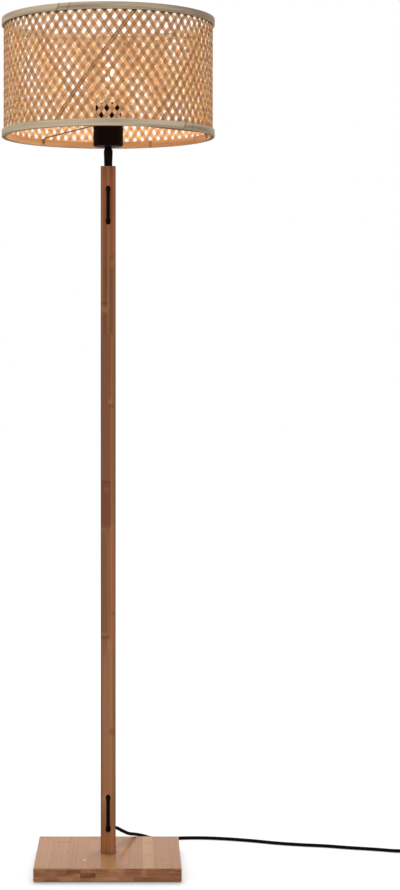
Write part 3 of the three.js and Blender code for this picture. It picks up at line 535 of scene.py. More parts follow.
@dataclass(frozen=True)
class BraidedSleeve(Finish):
    """Black yarn braided over a round cable: dull, with a fine diamond pattern. Real yarns are 0.5 mm apart;
    these are 1.2 mm, so that they show. It reads the piece's own map, in metres."""

    yarn: float = 0.0012
    depth: float = 0.0002
    strength: float = 0.5
    sheen: float = 0.02
    sheen_roughness: float = 0.4

    def material(self) -> bpy.types.Material:
        """Builds the material.

        Returns:
            The material.
        """
        material, tree, surface = self.begin()
        across, along, _ = add(tree, SPLIT, (add(tree, "ShaderNodeUVMap", uv_map="UVMap"),)).outputs
        waves = []
        for sign in (1.0, -1.0):
            slant = add(tree, MATH, (along, sign, across), operation="MULTIPLY_ADD")
            angle = add(tree, MATH, (slant, FULL_TURN / self.yarn), operation="MULTIPLY")
            waves.append(add(tree, MATH, (angle,), operation="SINE"))
        top = add(tree, MATH, waves, operation="MAXIMUM")
        height = add(tree, MAP_RANGE, (top, -0.5, 1.0))
        self.blend(tree, surface, height)
        feed(surface, {"Sheen Weight": self.sheen, "Sheen Roughness": self.sheen_roughness})
        self.relief(tree, surface, height, self.depth, self.strength)
        return material


@dataclass(frozen=True)
class ClearGlass(Finish):
    """Thin blown glass: nearly invisible face on, with bright edges and reflections."""

    ripple: float = 1 / 60  # metres from ripple to ripple
    depth: float = 0.0002
    strength: float = 0.2
    middle_alpha: float = 0.03
    edge_alpha: float = 0.2
    edge_blend: float = 0.3
    edge_range: tuple[float, float] = (0.2, 1.0)

    def material(self) -> bpy.types.Material:
        """Builds the material.

        Returns:
            The material.
        """
        material, tree, surface = self.begin()
        place = add(tree, "ShaderNodeTexCoord").outputs["Object"]
        ripple = add(tree, NOISE, {"Vector": place, "Scale": 1 / self.ripple, "Detail": 1.0})
        self.blend(tree, surface, ripple)
        facing = add(tree, "ShaderNodeLayerWeight", {"Blend": self.edge_blend}).outputs["Facing"]
        alpha = add(tree, MAP_RANGE, (facing, *self.edge_range, self.middle_alpha, self.edge_alpha))
        feed(surface, {"Alpha": alpha})
        self.relief(tree, surface, ripple, self.depth, self.strength)
        return material


@dataclass(frozen=True)
class LitPhosphor(Finish):
    """Yellow phosphor over a lit filament: it glows, a little unevenly along its length."""

    glow: float = 4.0
    bead: float = 0.002  # metres from one bright place to the next

    def material(self) -> bpy.types.Material:
        """Builds the material.

        Returns:
            The material.
        """
        material, tree, surface = self.begin()
        place = add(tree, "ShaderNodeTexCoord").outputs["Object"]
        beads = add(tree, NOISE, {"Vector": place, "Scale": 1 / self.bead, "Detail": 1.0})
        self.blend(tree, surface, beads)
        colour = surface.inputs["Base Color"].links[0].from_socket
        feed(surface, {"Emission Color": colour, "Emission Strength": self.glow})
        return material


DARK_NODE, PALE_NODE, RED_NODE = "#54291a", "#b5835a", "#8a4a2a"
# Marks on the pole, from broad tones down to its nodes: low and high above the floor.
POLE_PATCHES = (
    Patch(1.120, 1.316, -0.0140, 0.0140, "#a8623a", 0.35, 0.04),
    Patch(1.050, 1.250, -0.0094, -0.0010, "#6e3a20", 0.50, 0.04),
    Patch(0.637, 1.140, 0.0065, 0.0140, "#7d5636", 0.45, 0.02),
    Patch(0.637, 1.050, -0.0140, -0.0031, "#6b3a22", 0.40, 0.01),
    Patch(0.637, 1.050, -0.0031, 0.0065, "#7c4426", 0.40, 0.01),
    Patch(0.637, 0.722, -0.0140, 0.0047, "#6a3218", 0.45, 0.004),
    Patch(0.430, 0.637, -0.0140, -0.0031, "#714b2f", 0.45, 0.02),
    Patch(0.400, 0.637, -0.0031, 0.0140, "#9a6238", 0.30, 0.02),
    Patch(0.060, 0.420, 0.0065, 0.0140, "#8a6040", 0.35, 0.04),
    Patch(0.060, 0.430, -0.0094, 0.0065, "#b4825a", 0.30, 0.06),
    Patch(0.026, 0.074, -0.0140, 0.0140, "#a0603a", 0.45, 0.02),
    Patch(1.143, 1.149, 0.0094, 0.0140, DARK_NODE, 0.45, 0.003),
    Patch(1.120, 1.141, 0.0045, 0.0094, PALE_NODE, 0.30, 0.008),
    Patch(1.0530, 1.0610, -0.0125, -0.0010, DARK_NODE, 0.60, 0.004),
    Patch(1.036, 1.0535, -0.0125, -0.0010, PALE_NODE, 0.32, 0.007),
    Patch(0.867, 0.880, -0.0005, 0.0065, PALE_NODE, 0.30, 0.006),
    Patch(0.861, 0.868, 0.0000, 0.0115, DARK_NODE, 0.50, 0.004),
    Patch(0.7180, 0.7270, -0.0140, 0.0047, "#5a2b16", 0.65, 0.004),
    Patch(0.7000, 0.7170, -0.0090, 0.0030, PALE_NODE, 0.12, 0.008),
    Patch(0.6360, 0.6400, -0.0140, 0.0047, "#5a2d18", 0.30, 0.002),
    Patch(0.520, 0.524, 0.0065, 0.0125, DARK_NODE, 0.35, 0.002),
    Patch(0.4270, 0.4355, -0.0140, 0.0025, "#5c3216", 0.60, 0.004),
    Patch(0.4345, 0.4430, -0.0140, 0.0025, "#a06a36", 0.45, 0.004),
    Patch(0.4720, 0.4820, 0.0070, 0.0125, DARK_NODE, 0.30, 0.004),
    Patch(0.4050, 0.4140, 0.0000, 0.0040, DARK_NODE, 0.25, 0.004),
    Patch(0.3900, 0.4380, -0.0020, 0.0060, PALE_NODE, 0.30, 0.02),
    Patch(0.2470, 0.2650, 0.0020, 0.0120, RED_NODE, 0.60, 0.005),
    Patch(0.1620, 0.1830, -0.0120, -0.0010, "#9a6428", 0.50, 0.006),
    Patch(0.1050, 0.1500, -0.0140, 0.0000, PALE_NODE, 0.35, 0.03),
)

# Marks on the foot's top: low and high along Y.
FOOT_PATCHES = (
    Patch(-0.1343, 0.140, 0.0651, 0.0838, "#c9a47a", 0.20, 0.0015),
    Patch(-0.030, -0.024, 0.0651, 0.0838, DARK_NODE, 0.40, 0.002),
    Patch(0.073, 0.080, 0.0676, 0.0829, DARK_NODE, 0.40, 0.002),
    Patch(-0.073, -0.062, 0.0889, 0.1092, "#6b4a30", 0.40, 0.004),
    Patch(0.076, 0.091, -0.0973, -0.0762, "#6f5a3a", 0.50, 0.005),
    Patch(-0.024, 0.004, -0.0766, -0.0742, DARK_NODE, 0.40, 0.008),
    # a painted highlight: the pale fleck where the lacquered top catches the light
    Patch(-0.075, -0.061, -0.0460, -0.0400, "#ecc6a8", 0.45, 0.006),
    Patch(-0.084, -0.076, -0.0450, -0.0410, RED_NODE, 0.45, 0.003),
    Patch(-0.064, -0.056, -0.0400, -0.0360, RED_NODE, 0.35, 0.003),
    Patch(-0.019, -0.012, -0.1122, -0.0935, DARK_NODE, 0.20, 0.002),
    Patch(-0.115, 0.058, 0.0187, 0.0374, PALE_NODE, 0.30, 0.03),
    Patch(-0.134, 0.134, -0.1320, -0.1100, "#c2976c", 0.15, 0.03),
    Patch(-0.020, 0.115, -0.0374, -0.0187, PALE_NODE, 0.25, 0.03),
)

# Marks on the foot's front face: low and high above the floor, left and right along X.
END_PATCHES = (
    Patch(0.0175, 0.0255, -0.0752, -0.0480, "#5f3020", 0.65, 0.001),
    Patch(0.0095, 0.0190, -0.0498, -0.0217, "#5a2c1c", 0.75, 0.001),
    Patch(0.0020, 0.0155, -0.0880, -0.0498, "#b47c5c", 0.40, 0.002),
    Patch(-0.0020, 0.0080, -0.1150, -0.0870, "#643622", 0.55, 0.001),
    Patch(0.0020, 0.0185, -0.0217, 0.0210, "#b47c5c", 0.35, 0.002),
    Patch(0.0050, 0.0110, -0.0081, 0.0192, "#c08c70", 0.45, 0.002),
    Patch(0.0117, 0.0250, 0.0210, 0.0627, "#b27452", 0.35, 0.002),
    Patch(-0.0020, 0.0115, 0.0464, 0.1360, "#643622", 0.50, 0.001),
    Patch(0.0125, 0.0260, 0.0700, 0.1360, "#6e3e28", 0.35, 0.002),
    Patch(0.0190, 0.0215, 0.1117, 0.1360, "#c08c70", 0.50, 0.001),
)

# Steamed bamboo, glued in strips, sanded and thinly lacquered: lengths of uneven brown with fine dark fibres.
POLE_BAMBOO = LaminatedBamboo(
    "steamed_bamboo_pole", "#66381d", "#a9744b", 0.5, specular=0.2, seam_dark=0.5,
    across=(0.00625, 0.0075, 1.0), start=(0.003125, 0.0, 0.0), patches=POLE_PATCHES, corner=0.014)
# The same bamboo under a hard clear lacquer: the flat top mirrors what stands on it, softly.
FOOT_BAMBOO = LaminatedBamboo(
    "lacquered_bamboo_foot", "#8f6140", "#b2815a", 0.2, specular=0.034,
    across=(0.0187, 1.0, 0.0083), start=(0.0, 0.5, -0.0023), stretch=(0.0008, 0.09, 0.0008), along=1,
    tone_share=0.35, seam_dark=0.2, end_dark=0.8, patches=FOOT_PATCHES,
    end_patches=END_PATCHES, ragged=0.003)
# Bamboo shaved to a thin strip and left bare: pale, dull and warm, and thin enough that the bulb's light
# glows through it. Painted shade darkens its edges, the places where two strips lie on each other, and those
# crossings behind the top hoop.
STRIP_BAMBOO = SplitBamboo("shaved_bamboo_strip", "#cd9d6b", "#f0c998", 0.65, specular=0.2, tone="strip_tone",
                           half_width=0.00365, rows="strip_rows", hoop_shadow_from=0.2086, shine_through=0.5)
# Split bamboo bent to a hoop, its skin scraped off: greyer and smoother than the strips.
HOOP_BAMBOO = SplitBamboo(
    "split_bamboo_hoop", "#a08c74", "#d6c2a5", 0.6, specular=0.2, fibre=0.0026, length=0.25, spread=0.13,
    node_gap=0.62, node_width=0.004)
# The same bamboo, warmer and redder: a copy with the bulb's warm light painted into its colour, for the lower
# inner hoop, whose face turns to the bulb.
BULB_LIT_HOOP_BAMBOO = SplitBamboo(
    "split_bamboo_hoop_painted_bulb_light", "#a3714d", "#ca9972", 0.6, specular=0.2, fibre=0.0026, length=0.25, spread=0.2,
    node_gap=0.62, node_width=0.004)
# Sprayed and stoved enamel on steel: black with a soft shine; its warm brown tint is a painted reflection of
# the lit shade.
ENAMEL = Grained("black_enamelled_steel", "#0c0502", "#120803", 0.55, specular=0.03)
# Pressed phenolic: black, a shade duller than the enamel.
PHENOLIC = Grained("black_phenolic", "#090604", "#0e0906", 0.55, specular=0.04)
# Injection-moulded ABS with a fine spark texture: an even, matt black.
MOULDING = Grained("black_moulded_abs", "#121110", "#1a1817", 0.55, specular=0.3, grain=0.001)
# Soft PVC moulded over the cable: matt, greyer where it catches light.
SOFT_MOULDING = Grained("black_soft_pvc", "#121111", "#1a1918", 0.65, specular=0.25, grain=0.0012)
# ABS of the switch's contact block: plain mid grey.
GREY_MOULDING = Grained("grey_moulded_abs", "#6f6f6d", "#7b7b79", 0.5)
# Braided polyester over the cable: deep black, with a fine diamond pattern of dull yarn.
BRAID = BraidedSleeve("black_braided_sleeve", "#070302", "#170d07", 0.9, specular=0.05)
# Turned brass, bare: warm yellow metal with a worn shine.
BRASS = Grained("plain_brass", "#b08d4c", "#c2a05f", 0.32, metallic=1.0)
# Nickelled brass sheet, rolled: pale warm metal, brighter than the inserts.
CAP_METAL = Grained("nickelled_brass_cap", "#b8a98a", "#cdc0a2", 0.28, metallic=1.0)
# Zinc plating, chromated: cool grey metal with a cloudy shine.
ZINC = Grained("zinc_plated_steel", "#98989a", "#b2b2b0", 0.35, metallic=1.0)
# Steel wire under tinted lacquer: a dull brown that hides among the strips.
WIRE = Grained("lacquered_wire", "#5e4830", "#74593c", 0.45, metallic=0.3)
# Thin sheet brass, stamped and dulled: small warm glints on the hoop.
TAB_BRASS = Grained("dull_brass_tab", "#8a6038", "#a87a4c", 0.45, metallic=1.0)
# Pressed wool felt: brown, fully matt, with loose fibres.
FELT = Grained("brown_felt", "#42362c", "#5a4b3e", 0.95, grain=0.0009, depth=0.0003)
# Fused black glass in the cap: smooth and glossy.
BLACK_GLASS = Grained("black_insulating_glass", "#0d0d10", "#16161a", 0.15)
# Thin clear glass, blown: seen by its rim and by what it mirrors.
BULB_GLASS = ClearGlass("clear_bulb_glass", "#4a463e", "#57524a", 0.04, ior=1.45)
# Phosphor coat on a lit filament: a warm cream glow.
FILAMENT = LitPhosphor("lit_phosphor_filament", "#ffd9a0", "#ffe6bd", 0.5, glow=6.0)


def placed(name: str, data: bpy.types.ID) -> Piece:
    """Links an object with its data into the scene.

    Args:
        name: the object's name.
        data: its mesh, lamp or camera.

    Returns:
        The object.
    """
    made = bpy.data.objects.new(name, data)
    bpy.context.scene.collection.objects.link(made)
    return made


def piece_of(name: str, vertices: Sequence[Sequence[float]], faces: Sequence[Sequence[int]],
             corners: Sequence[Sequence[tuple[float, float]]], sharp: float = SHARP) -> Piece:
    """Makes an object from points and faces, smooth except at its sharp edges.

    Args:
        name: the object's name.
        vertices: points, in metres.
        faces: the faces' vertex numbers, anticlockwise seen from outside.
        corners: for each face, the place of each corner on the map, in metres.
        sharp: an edge that turns more than this stays sharp.

    Returns:
        The object, linked into the scene.
    """
    mesh = bpy.data.meshes.new(name)
    mesh.from_pydata([tuple(v) for v in vertices], [], [tuple(f) for f in faces])
    layer = mesh.uv_layers.new(name="UVMap")
    layer.data.foreach_set("uv", [value for face in corners for corner in face for value in corner])
    clean(mesh, sharp)
    return placed(name, mesh)


def clean(mesh: bpy.types.Mesh, sharp: float, flat: bool = False) -> None:
    """Merges a mesh's doubled points and smooths it up to an angle.

    Args:
        mesh: the mesh.
        sharp: an edge that turns more than this stays sharp.
        flat: whether the triangles of a flat face are joined. If not, faces without area are dropped.
    """
    work = bmesh.new()
    work.from_mesh(mesh)
    bmesh.ops.remove_doubles(work, verts=work.verts, dist=1e-6)
    if flat:
        bmesh.ops.dissolve_limit(work, angle_limit=math.radians(0.5), verts=work.verts, edges=work.edges)
    else:
        bmesh.ops.dissolve_degenerate(work, dist=1e-7, edges=work.edges)
    work.to_mesh(mesh)
    work.free()
    mesh.shade_smooth()
    mesh.set_sharp_from_angle(angle=sharp)


def skinned(name: str, rings: Sequence[Sequence[Sequence[float]]], looped: bool = False, capped: bool = True,
            sharp: float = SHARP) -> Piece:
    """Lays a skin over rings of points.

    Args:
        name: the object's name.
        rings: rings of as many points each, anticlockwise seen from the last ring's side.
        looped: whether the last ring joins the first.
        capped: whether the first and last rings are closed with a face.
        sharp: an edge that turns more than this stays sharp.

    Returns:
        The object, with U round the rings and V along them in metres.
    """
    count = len(rings[0])
    points = np.array(rings, float)
    steps = np.linalg.norm(np.diff(points, axis=0), axis=2).max(axis=1)
    along = np.concatenate([[0.0], np.cumsum(steps)])
    rounds = np.linalg.norm(points - np.roll(points, 1, axis=1), axis=2).sum(axis=1).max()
    faces, corners = [], []
    last = len(rings) if looped else len(rings) - 1
    for i in range(last):
        above = (i + 1) % len(rings)
        if i + 1 < len(along):
            end = along[i + 1]
        else:
            end = along[i] + np.linalg.norm(points[0] - points[i], axis=1).max()
        for j in range(count):
            beside = (j + 1) % count
            faces.append((i * count + j, i * count + beside, above * count + beside, above * count + j))
            left, right = j / count * rounds, (j + 1) / count * rounds
            corners.append(((left, along[i]), (right, along[i]), (right, end), (left, end)))
    if capped and not looped:
        cap = 0.002  # the caps' radius on the map
        for ring, order in ((0, range(count - 1, -1, -1)), (len(rings) - 1, range(count))):
            faces.append(tuple(ring * count + j for j in order))
            turns = [FULL_TURN * j / count for j in order]
            corners.append(tuple((cap * math.cos(turn), cap * math.sin(turn)) for turn in turns))
    return piece_of(name, points.reshape(-1, 3), faces, corners, sharp)


def lathed(name: str, profile: Profile, sides: int, foot: float, closed: bool = True,
           sharp: float = SHARP) -> Piece:
    """Turns a profile about the lamp's own axis.

    Args:
        name: the object's name.
        profile: radius and height of each point; outside faces run upwards.
        sides: how many faces go round.
        foot: where the profile's height zero stands.
        closed: whether the profile closes on itself, clear of the axis.
        sharp: an edge that turns more than this stays sharp.

    Returns:
        The object.
    """
    angles = [FULL_TURN * j / sides for j in range(sides)]
    rings = [[(r * math.cos(a), r * math.sin(a), foot + z) for a in angles] for r, z in profile]
    return skinned(name, rings, looped=closed, capped=False, sharp=sharp)


def rounded(profile: Profile, radii: Sequence[float], steps: int = 4) -> Profile:
    """Rounds the corners of a profile that closes on itself.

    Args:
        profile: the corner points.
        radii: how far from each corner its round starts; 0 keeps it.
        steps: points along each round, less one.

    Returns:
        The profile with rounds.
    """
    made = []
    for i, (corner, reach) in enumerate(zip(profile, radii)):
        if reach == 0:
            made.append(corner)
            continue
        here = Vector(corner)
        back = (Vector(profile[i - 1]) - here).normalized() * reach
        ahead = (Vector(profile[(i + 1) % len(profile)]) - here).normalized() * reach
        for step in range(steps + 1):
            t = step / steps
            made.append(tuple(here + back * (1 - t) ** 2 + ahead * t ** 2))
    return made


def frames(path: Sequence[Vector]) -> list[tuple[Vector, Vector]]:
    """Finds two directions across a path at each of its points, carried along it without twist.

    Args:
        path: the points of the path.

    Returns:
        The two directions at each point.
    """
    tangents = []
    for i in range(len(path)):
        ahead = path[min(i + 1, len(path) - 1)]
        behind = path[max(i - 1, 0)]
        tangents.append((ahead - behind).normalized())
    side = tangents[0].orthogonal().normalized()
    made = []
    for tangent in tangents:
        side = (side - tangent * side.dot(tangent)).normalized()
        made.append((side, tangent.cross(side)))
    return made


def swept(name: str, path: Sequence[Vector], radius: float, sides: int = 16) -> Piece:
    """Sweeps a circle along a path.

    Args:
        name: the object's name.
        path: the points of its centreline.
        radius: the tube's radius.
        sides: how many faces go round.

    Returns:
        The tube, closed at its ends.
    """
    angles = [FULL_TURN * j / sides for j in range(sides)]
    rings = []
    for point, (side, up) in zip(path, frames(path)):
        rings.append([point + radius * (math.cos(a) * side + math.sin(a) * up) for a in angles])
    return skinned(name, rings, sharp=SHARP_ROD)


def smooth_route(points: Sequence[Sequence[float]], steps: int = 8) -> list[Vector]:
    """Finds points on a centripetal Catmull-Rom curve.

    Args:
        points: the points that it passes through.
        steps: how many steps each span gets.

    Returns:
        The points along the curve, ends included.
    """
    knots = [Vector(p) for p in points]
    knots = [2 * knots[0] - knots[1], *knots, 2 * knots[-1] - knots[-2]]
    made = [knots[1]]
    for i in range(1, len(knots) - 2):
        p0, p1, p2, p3 = knots[i - 1:i + 3]
        t0 = 0.0
        t1 = t0 + math.sqrt((p1 - p0).length)
        t2 = t1 + math.sqrt((p2 - p1).length)
        t3 = t2 + math.sqrt((p3 - p2).length)
        for step in range(1, steps + 1):
            t = t1 + (t2 - t1) * step / steps
            a1 = p0 * ((t1 - t) / (t1 - t0)) + p1 * ((t - t0) / (t1 - t0))
            a2 = p1 * ((t2 - t) / (t2 - t1)) + p2 * ((t - t1) / (t2 - t1))
            a3 = p2 * ((t3 - t) / (t3 - t2)) + p3 * ((t - t2) / (t3 - t2))
            b1 = a1 * ((t2 - t) / (t2 - t0)) + a2 * ((t - t0) / (t2 - t0))
            b2 = a2 * ((t3 - t) / (t3 - t1)) + a3 * ((t - t1) / (t3 - t1))
            made.append(b1 * ((t2 - t) / (t2 - t1)) + b2 * ((t - t1) / (t2 - t1)))
    return made


def bent_route(corners: Sequence[Vector], radii: Sequence[float], steps: int = 8) -> list[Vector]:
    """Joins straight runs by arcs at their corners.

    Args:
        corners: the corner points, ends included.
        radii: the bend at each inner corner.
        steps: how many steps each bend gets.

    Returns:
        The points of the route.
    """
    made = [corners[0]]
    for i in range(1, len(corners) - 1):
        back = (corners[i - 1] - corners[i]).normalized()
        ahead = (corners[i + 1] - corners[i]).normalized()
        half = back.angle(ahead) / 2
        centre = corners[i] + (back + ahead).normalized() * (radii[i - 1] / math.sin(half))
        first = corners[i] + back * (radii[i - 1] / math.tan(half)) - centre
        last = corners[i] + ahead * (radii[i - 1] / math.tan(half)) - centre
        sweep = math.pi - 2 * half
        for step in range(steps + 1):
            angle = sweep * step / steps
            made.append(centre + first * (math.sin(sweep - angle) / math.sin(sweep))
                        + last * (math.sin(angle) / math.sin(sweep)))
    return [*made, corners[-1]]


def length_of(path: Sequence[Vector]) -> float:
    """Measures a path from end to end."""
    return sum((b - a).length for a, b in zip(path, path[1:]))


def refined(node: str, name: str) -> Piece:
    """Copies a CAD node, joins its loose triangles and smooths what is round.

    Args:
        node: the node to copy.
        name: the copy's name.

    Returns:
        The copy, in place.
    """
    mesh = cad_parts[node].data.copy()
    mesh.name = name
    clean(mesh, SHARP, flat=True)
    return placed(name, mesh)


def softened(piece: Piece, width: float, segments: int = 2) -> Piece:
    """Rounds a piece's sharp edges and keeps its flat faces flat to the eye.

    Args:
        piece: the piece.
        width: how far from the edge its round starts.
        segments: how many faces make the round.

    Returns:
        The same piece with the made mesh.
    """
    bevel = piece.modifiers.new("edges", "BEVEL")
    bevel.width = width
    bevel.segments = segments
    bevel.limit_method = "ANGLE"
    bevel.angle_limit = SHARP_ROD
    bevel.use_clamp_overlap = True
    weighted = piece.modifiers.new("flats", "WEIGHTED_NORMAL")
    weighted.keep_sharp = False
    return applied(piece)


def applied(piece: Piece) -> Piece:
    """Turns a piece with modifiers into a plain mesh.

    Args:
        piece: the piece.

    Returns:
        The same piece with the made mesh.
    """
    graph = bpy.context.evaluated_depsgraph_get()
    graph.update()
    mesh = bpy.data.meshes.new_from_object(
        piece.evaluated_get(graph), preserve_all_data_layers=True, depsgraph=graph)
    mesh.name = piece.name
    piece.modifiers.clear()
    piece.data = mesh
    return piece


def grown(piece: Piece, tree: Tree, values: dict[str, float]) -> Piece:
    """Runs a Geometry Nodes tree on a piece and keeps the result as its mesh.

    Args:
        piece: the object whose mesh the tree repeats.
        tree: the tree.
        values: the tree's inputs by name.

    Returns:
        The same piece with the made mesh.
    """
    modifier = piece.modifiers.new("pattern", "NODES")
    modifier.node_group = tree
    sockets = {s.name: s.identifier for s in tree.interface.items_tree if s.item_type == "SOCKET"}
    for name, value in values.items():
        modifier[sockets[name]] = value
    return applied(piece)


def turned(piece: Piece, angle: float) -> Piece:
    """Turns a piece's mesh about the lamp's axis."""
    piece.data.transform(Matrix.Rotation(angle, 4, "Z"))
    return piece


def new_tree(name: str, counts: Sequence[str], sizes: Sequence[str] = ()) -> tuple[Tree, Node]:
    """Starts a Geometry Nodes tree.

    Args:
        name: its name.
        counts: its inputs that are whole numbers, after the geometry.
        sizes: its other inputs.

    Returns:
        The tree and its input node.
    """
    tree = bpy.data.node_groups.new(name, "GeometryNodeTree")
    tree.interface.new_socket("Geometry", in_out="INPUT", socket_type="NodeSocketGeometry")
    for names, kind in ((counts, "NodeSocketInt"), (sizes, "NodeSocketFloat")):
        for size in names:
            tree.interface.new_socket(size, in_out="INPUT", socket_type=kind)
    tree.interface.new_socket("Geometry", in_out="OUTPUT", socket_type="NodeSocketGeometry")
    return tree, add(tree, "NodeGroupInput")


def repeated_round(material: bpy.types.Material) -> Tree:
    """Builds a tree that repeats its geometry round Z.

    Args:
        material: the finish of the copies.

    Returns:
        The tree, whose input Count says how many there are.
    """
    tree, given = new_tree("repeated_round", ["Count"])
    size = given.outputs
    line = add(tree, "GeometryNodeMeshLine", {"Count": size["Count"], "Offset": ORIGIN})
    part = add(tree, MATH, (add(tree, "GeometryNodeInputIndex"), size["Count"]), operation="DIVIDE")
    turn = add(tree, COMBINE, {2: add(tree, MATH, (part, FULL_TURN), operation="MULTIPLY")})
    copies = add(tree, "GeometryNodeInstanceOnPoints", {
        "Points": line, "Instance": size["Geometry"], "Rotation": turn})
    real = add(tree, "GeometryNodeRealizeInstances", (copies,))
    coloured = add(tree, "GeometryNodeSetMaterial", {"Geometry": real, "Material": material})
    add(tree, "NodeGroupOutput", (coloured,))
    return tree


# One sum for each strip: its name, what is done, and what goes in, by name or as a number.
STRIP_SUMS = (
    ("stood", "ADD", "index", "stray"),
    ("stands", "ADD", "stood", "Start"),
    ("lap", "DIVIDE", "stands", "Strips"),
    ("strip_turn", "MULTIPLY", "lap", FULL_TURN),
    ("dark", "COMPARE", "index", "Dark strip", 0.1),
    ("faint", "COMPARE", "index", "Faint strip", 0.1),
    ("strip_skin", "MULTIPLY_ADD", "faint", 0.5, "dark"),
)

# The same for each point of a strip, whose X, Y and Z are across it, up the drum and out of it.
WEAVE_SUMS = (
    # Where the strip is on the drum, as if the weave were even.
    ("climb", "SUBTRACT", "Y", "First row"),
    ("slope", "TANGENT", "Lean"),
    ("shift", "DIVIDE", "climb", "slope"),
    ("run", "MULTIPLY", "shift", "Side"),
    ("width", "MULTIPLY", "X", "strip_wide"),
    ("steep", "SINE", "Lean"),
    ("across", "DIVIDE", "width", "steep"),
    ("arc", "ADD", "run", "across"),
    ("bend", "DIVIDE", "arc", "Radius"),
    ("even", "ADD", "bend", "strip_turn"),
    # How far it has crept at the drum's back, round the drum and up it, in steps.
    ("back", "SINE", "even"),
    ("behind", "MAXIMUM", "back", 0.0),
    ("right", "COSINE", "even"),
    ("crept", "MULTIPLY_ADD", "right", "Tilt", "Drift"),
    ("creep", "MULTIPLY", "crept", "behind"),
    ("step", "DIVIDE", FULL_TURN, "Strips"),
    ("angle", "MULTIPLY_ADD", "creep", "step", "even"),
    ("row crept", "MULTIPLY_ADD", "right", "Row tilt", "Row drift"),
    ("row creep", "MULTIPLY", "row crept", "behind"),
    ("risen", "MULTIPLY_ADD", "row creep", "Row step", "climb"),
    # How far it swings out and in, once for each row, with flat tops between quick crossings.
    ("level", "COSINE", "Lean"),
    ("shear", "MULTIPLY", "X", "level"),
    ("skew", "MULTIPLY", "shear", "Side"),
    ("height", "ADD", "risen", "skew"),
    ("rows up", "DIVIDE", "height", "Row step"),
    ("phase", "MULTIPLY", "rows up", math.pi),
    ("wave", "COSINE", "phase"),
    ("steepened", "MULTIPLY", "wave", 1.8),
    ("not under", "MAXIMUM", "steepened", -1.0),
    ("swing", "MINIMUM", "not under", 1.0),
    ("square", "MULTIPLY", "swing", "swing"),
    ("half", "MULTIPLY", "square", 0.5),
    ("ease", "SUBTRACT", 1.5, "half"),
    ("eased", "MULTIPLY", "swing", "ease"),
    ("sided", "MULTIPLY", "eased", "Side"),
    ("out", "MULTIPLY", "sided", "Swing"),
    # Its place, and the count of rows that its colour follows.
    ("layer", "ADD", "Radius", "Z"),
    ("radius", "ADD", "layer", "out"),
    ("cosine", "COSINE", "angle"),
    ("sine", "SINE", "angle"),
    ("to X", "MULTIPLY", "radius", "cosine"),
    ("to Y", "MULTIPLY", "radius", "sine"),
    ("to Z", "ADD", "Foot", "Y"),
    ("girth", "MULTIPLY", "Radius", FULL_TURN),
    ("pitch", "DIVIDE", "girth", "Strips"),
    ("rows", "DIVIDE", "risen", "Row step"),
    ("sided rows", "MULTIPLY", "rows", "Side"),
    ("aside", "DIVIDE", "across", "pitch"),
    ("strip_rows", "ADD", "sided rows", "aside"),
)


def woven_strips(material: bpy.types.Material) -> Tree:
    """Builds a tree that wraps copies of a straight strip round a drum.

    The strip's X is its width, Y its height on the drum and Z its thickness. Each copy climbs at a slope and
    passes outside and inside by turns, once for each row of crossings. The attribute strip_rows counts the
    rows: it is a whole number where the strip crosses the middle of another.

    Args:
        material: the strips' finish.

    Returns:
        The tree.
    """
    tree, given = new_tree("woven_strips", ["Strips", "Dark strip", "Faint strip", "Seed"], [
        "Radius", "Foot", "Lean", "Side", "First row", "Row step", "Swing", "Start", "Stray",
        "Drift", "Tilt", "Row drift", "Row tilt"])
    known = {socket.name: socket for socket in given.outputs if socket.name}
    known["index"] = add(tree, "GeometryNodeInputIndex")
    known["least"] = add(tree, MATH, (known["Stray"], -1.0), operation="MULTIPLY")
    for name, low, high, skip in (
        ("stray", known["least"], known["Stray"], 0),  # how far off its even place a strip stands
        ("strip_tone", 0.0, 1.0, 7),
        ("strip_wide", 0.86, 1.06, 3),  # how wide it was cut, as a share
    ):
        seed = add(tree, MATH, (known["Seed"], skip), operation="ADD")
        drawn = add(tree, "FunctionNodeRandomValue", {2: low, 3: high, "Seed": seed}, data_type="FLOAT")
        known[name] = drawn.outputs[1]
    for name, operation, *values in STRIP_SUMS:
        known[name] = add(tree, MATH, [known.get(value, value) for value in values], operation=operation)
    line = add(tree, "GeometryNodeMeshLine", {"Count": known["Strips"], "Offset": ORIGIN})
    shape = add(tree, "GeometryNodeInstanceOnPoints", {"Points": line, "Instance": known["Geometry"]})
    for name in ("strip_turn", "strip_tone", "strip_wide", "strip_skin"):
        shape = add(tree, "GeometryNodeStoreNamedAttribute", {
            "Geometry": shape, "Name": name, "Value": known[name]}, data_type="FLOAT", domain="INSTANCE")
    real = add(tree, "GeometryNodeRealizeInstances", (shape,))

    for name in ("strip_turn", "strip_wide"):
        known[name] = add(tree, "GeometryNodeInputNamedAttribute", {"Name": name}, data_type="FLOAT")
    known["X"], known["Y"], known["Z"] = add(tree, SPLIT, (add(tree, "GeometryNodeInputPosition"),)).outputs
    for name, operation, *values in WEAVE_SUMS:
        known[name] = add(tree, MATH, [known.get(value, value) for value in values], operation=operation)
    numbered = {"Geometry": real, "Name": "strip_rows", "Value": known["strip_rows"]}
    counted = add(tree, "GeometryNodeStoreNamedAttribute", numbered, data_type="FLOAT", domain="POINT")
    place = add(tree, COMBINE, (known["to X"], known["to Y"], known["to Z"]))
    wrapped = add(tree, "GeometryNodeSetPosition", {"Geometry": counted, "Position": place})
    coloured = add(tree, "GeometryNodeSetMaterial", {"Geometry": wrapped, "Material": material})
    add(tree, "NodeGroupOutput", (coloured,))
    return tree


